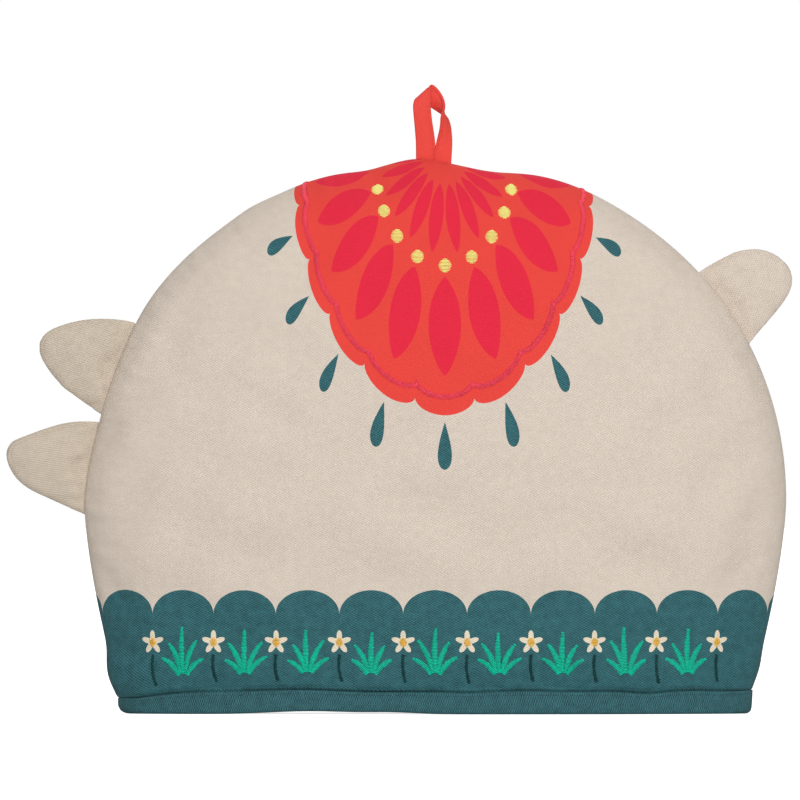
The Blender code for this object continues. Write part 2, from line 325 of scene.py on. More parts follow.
def place_numbers(points: Array) -> Array:
    """Numbers the points, with one number for all that share a place."""
    rounded = np.round(points.reshape(-1, 3) / MERGE) + 0.0
    return np.unique(rounded, axis=0, return_inverse=True)[1].ravel()


@dataclass(frozen=True)
class Lumps:
    """Soft unevenness of padding: a few waves of unlike length and direction, added up.

    Args:
        height: the usual height of a lump.
        shortest: the shortest wave.
        longest: the longest wave.
        seed: which unevenness.
        waves: how many waves are added.
    """

    height: float
    shortest: float
    longest: float
    seed: int
    waves: int = 14

    def at(self, first: Array, second: Array) -> Array:
        """The lumps' height at cloth coordinates.

        Args:
            first: one coordinate of each place.
            second: the other.

        Returns:
            The height at each place.
        """
        chance = np.random.default_rng(self.seed)
        total = np.zeros(np.broadcast(first, second).shape)
        for _ in range(self.waves):
            turn, phase = chance.uniform(0.0, 2 * math.pi, 2)
            length = self.shortest * (self.longest / self.shortest) ** chance.uniform()
            across = first * math.cos(turn) + second * math.sin(turn)
            total = total + np.sin(across * 2 * math.pi / length + phase)
        return total * self.height * math.sqrt(2.0 / self.waves)


# ---- sums made of nodes


class Field:
    """A number that varies over a surface. Arithmetic on it adds Math nodes to its tree."""

    def __init__(self, tree: NodeTree, socket: NodeSocket) -> None:
        """Holds the socket that gives the number."""
        self.tree = tree
        self.socket = socket

    def math(self, operation: str, *others: "Field | float", clamp: bool = False) -> "Field":
        """Adds a Math node that works on this number and the others.

        Args:
            operation: the node's own word for it.
            others: the numbers after this one.
            clamp: whether the result is held between 0 and 1.

        Returns:
            The result.
        """
        node = self.tree.nodes.new("ShaderNodeMath")
        node.operation = operation
        node.use_clamp = clamp
        for slot, value in zip(node.inputs, (self, *others)):
            if isinstance(value, Field):
                self.tree.links.new(value.socket, slot)
            else:
                slot.default_value = value
        return Field(self.tree, node.outputs[0])

    def __add__(self, other: "Field | float") -> "Field":
        """Sum."""
        return self.math("ADD", other)

    def __sub__(self, other: "Field | float") -> "Field":
        """Difference."""
        return self.math("SUBTRACT", other)

    def __rsub__(self, other: float) -> "Field":
        """Difference from a plain number."""
        return (self * -1.0) + other

    def __mul__(self, other: "Field | float") -> "Field":
        """Product."""
        return self.math("MULTIPLY", other)

    def __truediv__(self, other: "Field | float") -> "Field":
        """Quotient."""
        return self.math("DIVIDE", other)

    def __pow__(self, other: float) -> "Field":
        """Power."""
        return self.math("POWER", other)

    def root(self) -> "Field":
        """Square root of what lies above 0."""
        return self.math("MAXIMUM", 0.0).math("SQRT")

    def held(self) -> "Field":
        """The number held between 0 and 1."""
        return self.math("MAXIMUM", 0.0).math("MINIMUM", 1.0)

    def share_of(self, period: float) -> "Field":
        """0 to 1 within each period."""
        return (self / period).math("FRACT")

    def below(self, line: "Field | float", softness: float) -> "Field":
        """1 below the line and 0 above it, with an edge this soft."""
        gap = self.math("SUBTRACT", line) / -softness
        return gap.math("ADD", 0.5, clamp=True)


def separate(tree: NodeTree, vector: NodeSocket) -> tuple[Field, Field]:
    """The first two parts of a vector."""
    node = tree.nodes.new("ShaderNodeSeparateXYZ")
    tree.links.new(vector, node.inputs[0])
    return Field(tree, node.outputs[0]), Field(tree, node.outputs[1])


def mixed(
    tree: NodeTree,
    share: Field | float,
    first: NodeSocket | Colour,
    second: NodeSocket | Colour,
) -> NodeSocket:
    """Mixes two colours.

    Args:
        tree: where the node goes.
        share: how much of the second.
        first: a socket or a colour.
        second: a socket or a colour.

    Returns:
        The mixed colour's socket.
    """
    node = tree.nodes.new("ShaderNodeMix")
    node.data_type = "RGBA"
    factor, colours = node.inputs[0], node.inputs[6:8]
    if isinstance(share, Field):
        tree.links.new(share.socket, factor)
    else:
        factor.default_value = share
    for slot, colour in zip(colours, (first, second)):
        if isinstance(colour, tuple):
            slot.default_value = (*colour, 1.0)
        else:
            tree.links.new(colour, slot)
    return node.outputs[2]


def new_material(
    name: str, roughness: float, specular: float
) -> tuple[Material, NodeTree, Node]:
    """Starts a material.

    Args:
        name: its name.
        roughness: of its surface.
        specular: how strongly it mirrors; 0.5 is usual.

    Returns:
        The material, its node tree and its Principled BSDF.
    """
    made = bpy.data.materials.new(name)
    made.use_nodes = True
    shader = made.node_tree.nodes["Principled BSDF"]
    shader.inputs["Roughness"].default_value = roughness
    shader.inputs["Specular IOR Level"].default_value = specular
    return made, made.node_tree, shader


def new_group(
    name: str, inputs: dict[str, tuple[str, float]], outputs: dict[str, str]
) -> tuple[NodeTree, Node, Node]:
    """Starts a shader node group with named sockets.

    Args:
        name: the group's name.
        inputs: socket type and default, by name; a vector's default is ignored.
        outputs: socket type, by name.

    Returns:
        The tree, its input node and its output node.
    """
    tree = bpy.data.node_groups.new(name, "ShaderNodeTree")
    for label, (kind, value) in inputs.items():
        socket = tree.interface.new_socket(name=label, in_out="INPUT", socket_type=kind)
        if kind == "NodeSocketFloat":
            socket.default_value = value
    for label, kind in outputs.items():
        tree.interface.new_socket(name=label, in_out="OUTPUT", socket_type=kind)
    return tree, tree.nodes.new("NodeGroupInput"), tree.nodes.new("NodeGroupOutput")


def weave_group() -> NodeTree:
    """The twill weave: rows of short floats, each row a half step on, drawn out along one slant.

    Returns:
        A group that takes cloth coordinates and gives the weave's height and its tone, both 0 to 1; the
        tone is painted shade in the furrows and painted light on the floats, following the height, with
        random slub and fleck added.
    """
    tree, given, result = new_group(
        "twill weave",
        {
            "Cloth": ("NodeSocketVector", 0.0),
            "Float Length": ("NodeSocketFloat", 0.00220),
            "Row Pitch": ("NodeSocketFloat", 0.00062),
            "Turn": ("NodeSocketFloat", 0.0),
        },
        {"Height": "NodeSocketFloat", "Tone": "NodeSocketFloat"},
    )
    long, row, turn = (Field(tree, given.outputs[n]) for n in ("Float Length", "Row Pitch", "Turn"))

    def noise(scale: float, detail: float) -> Field:
        """Unevenness from -0.5 to 0.5."""
        node = tree.nodes.new("ShaderNodeTexNoise")
        node.inputs["Scale"].default_value = scale
        node.inputs["Detail"].default_value = detail
        tree.links.new(given.outputs["Cloth"], node.inputs["Vector"])
        return Field(tree, node.outputs["Fac"]) - 0.5

    slub, fleck = noise(220.0, 3.0), noise(1100.0, 2.0)
    u, v = separate(tree, given.outputs["Cloth"])
    cosine, sine = turn.math("COSINE"), turn.math("SINE")
    along = (u * cosine + v * sine + slub * 0.0009) / long
    across = (v * cosine - u * sine + slub * 0.0005) / row * 0.5
    slant = ((along + across) * (2 * math.pi)).math("COSINE")
    counter = ((along - across) * (2 * math.pi)).math("COSINE")
    height = slant * 0.31 + counter * 0.19 + 0.5
    # Painted shade and light: the tone follows the weave's height, darker in the furrows and lighter on the
    # floats; slub and fleck add random tone.
    tone = height + fleck * 0.9 + slub * 0.7
    tree.links.new(height.socket, result.inputs["Height"])
    tree.links.new(tone.socket, result.inputs["Tone"])
    return tree


# ---- the printed and stitched design

GREIGE = linear(214, 201, 187)
TEAL = linear(50, 99, 105)
BAND_TEAL = linear(53, 97, 103)
RED_ORANGE = linear(231, 69, 60)
CRIMSON = linear(227, 38, 64)
CREAM = linear(228, 216, 194)
STITCH_GREEN = linear(14, 207, 171)
# Real dark green stem thread, also used for the painted shadow outline round the leaves.
STEM_GREEN_AND_LEAF_SHADOW = linear(20, 66, 66)
STITCH_YELLOW = linear(255, 240, 142)
STITCH_MUSTARD = linear(248, 192, 64)
STITCH_CRIMSON = linear(246, 76, 96)
# Painted shadow: the dark outline round the crimson border line.
BORDER_SHADOW_CRIMSON = linear(176, 34, 50)
TAPE_RED = linear(233, 76, 66)
HEM_THREAD = linear(38, 68, 74)
TAPE_THREAD = linear(206, 42, 40)
PRINT_SOFTNESS = 0.00025


@dataclass(frozen=True)
class HemBorder:
    """The teal ground round the hem, under a line of round lobes, with a flower at each cusp.

    Args:
        lobe_pitch: from one lobe to the next.
        cusp_height: where the lobes meet.
        lobe_rise: from there to a lobe's top.
        flower_height: the middle of each flower.
        flower_radius: out to a petal's tip.
        flower_reach: how far from the middle the flowers go; the side seam would cut the next.
        petals: how many each flower has.
    """

    lobe_pitch: float = 0.0330
    cusp_height: float = 0.0520
    lobe_rise: float = 0.0125
    flower_height: float = 0.0375
    flower_radius: float = 0.0062
    flower_reach: float = 0.1650
    petals: int = 5

    def ground(self, u: Field, v: Field) -> Field:
        """1 on the teal ground."""
        along = (u + self.lobe_pitch / 2).share_of(self.lobe_pitch) * 2.0 - 1.0
        line = (1.0 - along * along).root() * self.lobe_rise + self.cusp_height
        return v.below(line, PRINT_SOFTNESS)

    def flowers(self, u: Field, v: Field) -> Field:
        """1 on the flowers' petals."""
        beside = (u.share_of(self.lobe_pitch) - 0.5) * self.lobe_pitch
        above = v - self.flower_height
        reach = (beside * beside + above * above).root()
        turn = beside.math("ARCTAN2", above)
        edge = ((turn * float(self.petals)).math("COSINE") * 0.30 + 0.70) * self.flower_radius
        shown = u.math("ABSOLUTE").below(self.flower_reach, PRINT_SOFTNESS)
        return reach.below(edge, PRINT_SOFTNESS) * shown


@dataclass(frozen=True)
class CrownFan:
    """The red half-round that hangs from the crown, edged with scallops and filled with petals.

    Its rays leave the middle at the crown. An even angle is one that steps evenly along its edge.

    Args:
        middle_u: the middle, across.
        middle_v: the middle, up the cloth.
        half_width: to the edge at each side.
        drop: to the edge at the bottom.
        scallops: how many its edge has.
        scallop_depth: of each, as a share of the way from the middle to the edge.
        outer_half: half the width of an outer petal.
        inner_half: half the width of an inner petal.
        drop_half: half the width of a teal drop under the edge.
        drop_span: where each drop starts and how long it is, as shares of the way out.
        drops_below: how far down the first drops hang, as a share of the fan's own drop.
    """

    middle_u: float = 0.0050
    middle_v: float = 0.3000
    half_width: float = 0.0830
    drop: float = 0.1450
    scallops: int = 11
    scallop_depth: float = 0.045
    outer_half: float = 0.0088
    inner_half: float = 0.0040
    drop_half: float = 0.0046
    drop_span: tuple[float, float] = (1.02, 0.175)
    drops_below: float = 0.33

    @property
    def mean_radius(self) -> float:
        """Between its half width and its drop."""
        return (self.half_width + self.drop) / 2

    @property
    def lean(self) -> float:
        """How far an even angle differs from the plain one."""
        return (self.drop - self.half_width) / (4 * self.mean_radius)

    def plain_angle(self, even: float) -> float:
        """The plain angle, in radians, of an even one."""
        plain = even
        for _ in range(20):
            plain = even - self.lean * math.sin(2 * plain)
        return plain

    def edge_share(self, even: float) -> float:
        """How far out the scalloped edge lies at an even angle; 1 is the middle of a scallop."""
        along = (even * self.scallops / math.pi) % 1.0 * 2.0 - 1.0
        return 1.0 - self.scallop_depth * (1.0 - math.sqrt(max(0.0, 1.0 - along * along)))

    def place(self, even: float, share: float) -> tuple[float, float]:
        """Cloth coordinates of a point on a ray, a share of the way out to the edge."""
        plain = self.plain_angle(even)
        across = self.half_width * math.cos(plain) * share
        return self.middle_u + across, self.middle_v - self.drop * math.sin(plain) * share

    def _polar(self, u: Field, v: Field) -> tuple[Field, Field, Field]:
        """The share of the way out, the even angle in scallops, and how far down it lies."""
        beside = (u - self.middle_u) / self.half_width
        down = (self.middle_v - v) / self.drop
        out = (beside * beside + down * down).root()
        plain = down.math("ARCTAN2", beside)
        even = plain + (plain * 2.0).math("SINE") * self.lean
        return out, even * (self.scallops / math.pi), down

    def _within(self, out: Field, steps: Field, width: Field) -> Field:
        """1 where the middle of a step is nearer than half this width, which varies on the way out."""
        side = (steps.math("FRACT") - 0.5).math("ABSOLUTE")
        distance = side * out * (self.mean_radius * math.pi / self.scallops)
        return distance.below(width - PRINT_SOFTNESS, PRINT_SOFTNESS)

    def _petals(self, out: Field, steps: Field, ends: tuple[float, float], half: float) -> Field:
        """1 on a ring of petals.

        Args:
            out: the share of the way out.
            steps: the even angle in scallops; a petal's middle is at each half step.
            ends: shares of the way out at which the petals begin and end.
            half: half the width of a petal.

        Returns:
            The petals.
        """
        along = ((out - ends[0]) / (ends[1] - ends[0])).held()
        return self._within(out, steps, (along * (1.0 - along) * 4.0) ** 0.8 * half)

    def ground(self, u: Field, v: Field) -> Field:
        """1 on the red half-round."""
        out, steps, _ = self._polar(u, v)
        along = steps.math("FRACT") * 2.0 - 1.0
        edge = ((1.0 - along * along).root() - 1.0) * self.scallop_depth + 1.0
        return out.below(edge, PRINT_SOFTNESS / self.mean_radius)

    def petals(self, u: Field, v: Field) -> Field:
        """1 on the crimson petals."""
        out, steps, _ = self._polar(u, v)
        outer = self._petals(out, steps, (0.50, 0.86), self.outer_half)
        inner = self._petals(out, steps + 0.5, (0.14, 0.42), self.inner_half)
        return outer.math("MAXIMUM", inner)

    def drops(self, u: Field, v: Field) -> Field:
        """1 on the teal drops that hang under the scallops."""
        out, steps, down = self._polar(u, v)
        start, length = self.drop_span
        along = ((out - start) / length).held()
        width = along**0.9 * (1.0 - along**3.0).root() * (self.drop_half * 1.45)
        return self._within(out, steps, width) * (1.0 - down.below(self.drops_below, 0.001))


HEM_BORDER = HemBorder()
CROWN_FAN = CrownFan()


def print_group() -> NodeTree:
    """The printed design, as a group that takes cloth coordinates.

    Returns:
        The group, which gives the ink's colour and how strongly the weave's painted shade and light show in
        it, most on the teal ink.
    """
    tree, given, result = new_group(
        "printed design",
        {"Cloth": ("NodeSocketVector", 0.0)},
        {"Colour": "NodeSocketColor", "Weave": "NodeSocketFloat"},
    )
    u, v = separate(tree, given.outputs["Cloth"])
    border, flowers = HEM_BORDER.ground(u, v), HEM_BORDER.flowers(u, v)
    drops, fan = CROWN_FAN.drops(u, v), CROWN_FAN.ground(u, v)
    colour = mixed(tree, border, GREIGE, TEAL)
    colour = mixed(tree, flowers, colour, CREAM)
    colour = mixed(tree, drops, colour, TEAL)
    colour = mixed(tree, fan, colour, RED_ORANGE)
    colour = mixed(tree, CROWN_FAN.petals(u, v), colour, CRIMSON)
    tree.links.new(colour, result.inputs["Colour"])
    # How strongly the weave's painted shade and light show: most on the teal ink, least on the red fan.
    weave = (border * (1.0 - flowers) + drops * (1.0 - fan)) * 3.6 + 1.0 - fan * 0.75
    tree.links.new(weave.socket, result.inputs["Weave"])
    return tree


# ---- finishes


class Weaves:
    """The shader groups that the cloth finishes share, each built once."""

    def __init__(self) -> None:
        """Builds the groups."""
        self.twill = weave_group()
        self.design = print_group()


@dataclass(frozen=True)
class TwillFinish:
    """A cotton twill, plain or printed.

    Args:
        name: the material's name.
        colour: its plain colour.
        printed: whether it carries the design.
        turn: radians from the cloth's own U to the way its floats lie.
        depth: how high the weave stands.
        float_length: from one float to the next along a row.
        contrast: how strongly the weave's painted shade and light show: furrows coloured darker, floats
            lighter.
        roughness: of its surface.
        sheen: how much its fuzz catches light.
    """

    name: str
    colour: Colour
    printed: bool = False
    turn: float = 0.0
    depth: float = 0.00010
    float_length: float = 0.0022
    contrast: float = 0.24
    roughness: float = 0.88
    sheen: float = 0.03

    def material(self, weaves: Weaves) -> Material:
        """Builds the material.

        Args:
            weaves: the shared groups.

        Returns:
            The material.
        """
        made, tree, shader = new_material(self.name, self.roughness, specular=0.25)
        shader.inputs["Sheen Weight"].default_value = self.sheen
        shader.inputs["Sheen Roughness"].default_value = 0.5
        coordinates = tree.nodes.new("ShaderNodeUVMap")
        coordinates.uv_map = CLOTH_MAP
        twill = tree.nodes.new("ShaderNodeGroup")
        twill.node_tree = weaves.twill
        twill.inputs["Turn"].default_value = self.turn
        twill.inputs["Float Length"].default_value = self.float_length
        tree.links.new(coordinates.outputs[0], twill.inputs["Cloth"])
        tone = Field(tree, twill.outputs["Tone"])
        if self.printed:
            design = tree.nodes.new("ShaderNodeGroup")
            design.node_tree = weaves.design
            tree.links.new(coordinates.outputs[0], design.inputs["Cloth"])
            ground = design.outputs["Colour"]
            contrast = Field(tree, design.outputs["Weave"]) * self.contrast
        else:
            ground = mixed(tree, 0.0, self.colour, self.colour)
            contrast = self.contrast
        # Painted shade and light of the weave: the colour is scaled by its tone.
        level = (tone - 0.5) * contrast + 1.0
        scaled = tree.nodes.new("ShaderNodeVectorMath")
        scaled.operation = "SCALE"
        tree.links.new(ground, scaled.inputs[0])
        tree.links.new(level.socket, scaled.inputs["Scale"])
        tree.links.new(scaled.outputs[0], shader.inputs["Base Color"])
        bump = tree.nodes.new("ShaderNodeBump")
        bump.inputs["Distance"].default_value = self.depth
        tree.links.new(twill.outputs["Height"], bump.inputs["Height"])
        tree.links.new(bump.outputs["Normal"], shader.inputs["Normal"])
        return made


@dataclass(frozen=True)
class ThreadFinish:
    """Glossy embroidery thread.

    Args:
        name: the material's name.
        colour: its colour.
        contrast: how much lighter and darker its threads are here and there.
        roughness: of its surface.
    """

    name: str
    colour: Colour
    contrast: float
    roughness: float = 0.45

    def material(self) -> Material:
        """Builds the material, whose tone wanders a little from thread to thread."""
        made, tree, shader = new_material(self.name, self.roughness, specular=0.2)
        place = tree.nodes.new("ShaderNodeTexCoord")
        noise = tree.nodes.new("ShaderNodeTexNoise")
        noise.inputs["Scale"].default_value = 1300.0
        tree.links.new(place.outputs["Object"], noise.inputs["Vector"])
        dark = tuple(channel * (1.0 - self.contrast) for channel in self.colour)
        light = tuple(min(1.0, channel * (1.0 + self.contrast)) for channel in self.colour)
        colour = mixed(tree, Field(tree, noise.outputs["Fac"]), dark, light)
        tree.links.new(colour, shader.inputs["Base Color"])
        return made


@dataclass(frozen=True)
class PlainFinish:
    """An even matt surface, for the studio; glow is how much paler than its light it looks."""

    name: str
    colour: Colour
    glow: float
    roughness: float = 0.9

    def material(self) -> Material:
        """Builds the material."""
        made, tree, shader = new_material(self.name, self.roughness, specular=0.5)
        shader.inputs["Base Color"].default_value = (*self.colour, 1.0)
        shader.inputs["Emission Color"].default_value = (1.0, 1.0, 1.0, 1.0)
        seen = Field(tree, tree.nodes.new("ShaderNodeLightPath").outputs["Is Camera Ray"])
        tree.links.new((seen * self.glow).socket, shader.inputs["Emission Strength"])
        return made


PRINTED_TWILL = TwillFinish(name="printed_twill", colour=GREIGE, printed=True)
GREIGE_TWILL = TwillFinish(name="greige_twill", colour=linear(213, 199, 184), turn=1.57, contrast=0.30)
# Painted shade: the leaf tabs on the left are the same greige cloth, coloured darker and yellower for the
# shade they sit in beside the body's swell.
PAINTED_SHADE_GREIGE_TWILL = TwillFinish(
    name="deep_greige_twill", colour=linear(198, 184, 167), turn=2.02, contrast=0.36
)
LINING_TWILL = TwillFinish(name="lining_twill", colour=linear(222, 212, 197))
# The weave's painted shade and light show strongly on the dark teal binding.
BAND_TWILL = TwillFinish(name="band_twill", colour=BAND_TEAL, turn=1.57, float_length=0.0034, contrast=1.2)
TAPE_TWILL = TwillFinish(name="tape_twill", colour=TAPE_RED, turn=1.57, contrast=0.10)


# ---- how cloth settles


@dataclass(frozen=True)
class Settling:
    """A short cloth simulation that lets padded cloth find its own shape between its seams.

    Args:
        pressure: of the padding under the cloth.
        spare: how much larger the cloth is cut than the form it covers, as a share.
        frames: how long it settles.
        cap: how far it may move.
    """

    pressure: float = 0.25
    spare: float = 0.006
    frames: int = 20
    cap: float = 0.0035

    def settled(self, points: Array, faces: list[list[int]], held: Array) -> Array:
        """Where the cloth's points come to rest.

        Args:
            points: the cloth's points.
            faces: its faces' corners.
            held: 1 where a seam holds a point, 0 where it is free.

        Returns:
            The points, none of them moved past the cap.
        """
        mesh = bpy.data.meshes.new("settling")
        mesh.from_pydata(points.tolist(), [], faces)
        cloth = bpy.data.objects.new("settling", mesh)
        scene = bpy.context.scene
        scene.collection.objects.link(cloth)
        seam = cloth.vertex_groups.new(name="seam")
        for number in np.nonzero(held > 0)[0]:
            seam.add([int(number)], float(held[number]), "REPLACE")
        modifier = cloth.modifiers.new("cloth", "CLOTH")
        settings = modifier.settings
        settings.quality = 8
        settings.mass = 0.15
        settings.tension_stiffness = 15
        settings.compression_stiffness = 15
        settings.bending_stiffness = 0.5
        settings.vertex_group_mass = seam.name
        settings.shrink_min = -self.spare
        settings.use_pressure = True
        settings.uniform_pressure_force = self.pressure
        settings.effector_weights.gravity = 0.0
        for frame_number in range(1, self.frames + 1):
            scene.frame_set(frame_number)
        made = cloth.evaluated_get(bpy.context.evaluated_depsgraph_get()).to_mesh()
        moved = mesh_points(made) - points
        scene.frame_set(1)
        bpy.data.objects.remove(cloth)
        bpy.data.meshes.remove(mesh)
        reach = np.linalg.norm(moved, axis=1, keepdims=True)
        return points + moved * np.minimum(1.0, self.cap / np.maximum(reach, TINY))


def spread_out(coarse: Array, rows: int, columns: int) -> Array:
    """Spreads a coarse grid of numbers smoothly over a finer grid.

    Args:
        coarse: the numbers.
        rows: of the finer grid.
        columns: of the finer grid.

    Returns:
        The finer grid.
    """
    down = np.linspace(0, coarse.shape[0] - 1, rows)
    along = np.linspace(0, coarse.shape[1] - 1, columns)
    tall = np.stack([np.interp(down, np.arange(coarse.shape[0]), column) for column in coarse.T], 1)
    wide = np.stack([np.interp(along, np.arange(coarse.shape[1]), row) for row in tall])
    for axis, size in ((0, round(rows / coarse.shape[0])), (1, round(columns / coarse.shape[1]))):
        width = 2 * (size // 2) + 1
        margin = [(0, 0), (0, 0)]
        margin[axis] = (width // 2, width // 2)
        padded = np.pad(wide, margin, mode="edge")
        slices = [np.take(padded, range(k, k + wide.shape[axis]), axis=axis) for k in range(width)]
        wide = np.mean(slices, axis=0)
    return wide


# ---- the pieces caught in the seam


@dataclass(frozen=True)
class TabPlan:
    """Where a tab is sewn in, and its cut.

    Args:
        base_x: where its axis crosses the seam, from the cosy's middle line.
        base_z: and above the floor.
        axis_angle: degrees from level, the way it points.
        half_thick: half its thickness when filled.
        edge: its edge, out along the axis and off it, from its upper sewn-in corner round the tip.
    """

    base_x: float
    base_z: float
    axis_angle: float
    half_thick: float
    edge: tuple[tuple[float, float], ...]

    @property
    def directions(self) -> tuple[Array, Array]:
        """The tab's own axis and its crosswise direction."""
        turn = math.radians(self.axis_angle)
        along = np.array((math.cos(turn), 0.0, math.sin(turn)))
        up = 1.0 if along[0] > 0 else -1.0
        return along, np.array((-along[2] * up, 0.0, along[0] * up))


class Tab(Enum):
    """The three padded tabs."""

    LEAF_TAB_UPPER = TabPlan(
        base_x=-0.1643,
        base_z=0.1794,
        axis_angle=165.7,
        half_thick=0.0056,
        edge=(
            (-0.0050, 0.0254), (0.0030, 0.0252), (0.0130, 0.0236), (0.0230, 0.0205), (0.0310, 0.0166),
            (0.0390, 0.0112), (0.0424, 0.0066), (0.0430, 0.0022), (0.0418, -0.0026), (0.0370, -0.0083),
            (0.0300, -0.0140), (0.0210, -0.0186), (0.0095, -0.0231), (-0.0050, -0.0284),
        ),
    )
    LEAF_TAB_LOWER = TabPlan(
        base_x=-0.1784,
        base_z=0.1279,
        axis_angle=175.2,
        half_thick=0.0058,
        edge=(
            (-0.0050, 0.0241), (0.0060, 0.0238), (0.0150, 0.0224), (0.0240, 0.0190), (0.0330, 0.0147),
            (0.0405, 0.0112), (0.0438, 0.0082), (0.0448, 0.0035), (0.0438, -0.0012), (0.0405, -0.0071),
            (0.0350, -0.0122), (0.0275, -0.0156), (0.0130, -0.0206), (-0.0050, -0.0270),
        ),
    )
    ROUND_TAB = TabPlan(
        base_x=0.1511,
        base_z=0.2114,
        axis_angle=35.1,
        half_thick=0.0052,
        edge=(
            (-0.0050, 0.0230), (0.0060, 0.0226), (0.0160, 0.0214), (0.0260, 0.0187), (0.0335, 0.0132),
            (0.0380, 0.0052), (0.0389, -0.0030), (0.0358, -0.0098), (0.0300, -0.0139), (0.0200, -0.0172),
            (0.0090, -0.0198), (-0.0050, -0.0240),
        ),
    )

    @property
    def node(self) -> str:
        """The name of the CAD node that the tab stands for."""
        return self.name.lower()


TAB_SEAM_HALF = 0.0011  # half a tab's thickness where the seam catches it


@dataclass(frozen=True)
class Pocket:
    """A stretch of the seam that opens round a piece caught in it.

    Args:
        angle: its middle, in degrees round the arch.
        half_span: degrees to each end.
        half_gap: half the gap it leaves.
    """

    angle: float
    half_span: float
    half_gap: float

    def opened(self, angle: Array) -> Array:
        """Half the gap at these angles."""
        away = np.minimum(1.0, np.abs(angle - self.angle) / (self.half_span * 1.02))
        return self.half_gap * np.sqrt(1.0 - away**8)


TAPE_HALF_SPAN = 0.0099  # from the cosy's middle line to the far edge of the loop's left leg
TAPE_END_Z = 0.2820


def seam_pockets(form: CosyForm) -> list[Pocket]:
    """The pockets round the tabs and the tape ends.

    Args:
        form: the CAD panels' form.

    Returns:
        One pocket for each tab, and the loop's.
    """

    def angle_of(x: float, z: float) -> float:
        """Degrees round the arch."""
        angle = math.degrees(math.atan2(z - form.widest_z, x))
        return angle + 360.0 if angle < -90.0 else angle

    pockets = []
    for tab in Tab:
        plan = tab.value
        _, across = plan.directions
        base = np.array((plan.base_x, 0.0, plan.base_z))
        ends = [base + across * plan.edge[k][1] for k in (0, -1)]
        angles = [angle_of(end[0], end[2]) for end in ends]
        half_gap = TAB_SEAM_HALF + 0.0003
        pockets.append(Pocket(sum(angles) / 2, abs(angles[0] - angles[1]) / 2, half_gap))
    tape_angle = 90.0 - angle_of(TAPE_HALF_SPAN, TAPE_END_Z)
    pockets.append(Pocket(90.0, tape_angle, 0.0011))
    return pockets


# ---- the padded panels


class Side(Enum):
    """Which panel; the value is the way its padding swells along Y."""

    FRONT = -1.0
    BACK = 1.0


@dataclass(frozen=True)
class Ribs:
    """The lines along which a panel is laid out, each from its middle to the seam.

    Args:
        start: height of each line's inner end on the middle line.
        across: how far each line goes sideways for each unit of its length.
        upward: and how far up.
        angle: degrees round the arch where it meets the seam.
        reach: its length on the flat of the seam's plane.
        depth: the swell at its inner end.
        squeeze: how far the padding is pressed there, from 0 to 1.
    """

    start: Array
    across: Array
    upward: Array
    angle: Array
    reach: Array
    depth: Array
    squeeze: Array


@dataclass(frozen=True)
class Lip:
    """A line of the outer cloth where it turns into the seam.

    Args:
        inset: from the seam's outermost line.
        half_gap: from the seam's plane.
    """

    inset: float
    half_gap: float


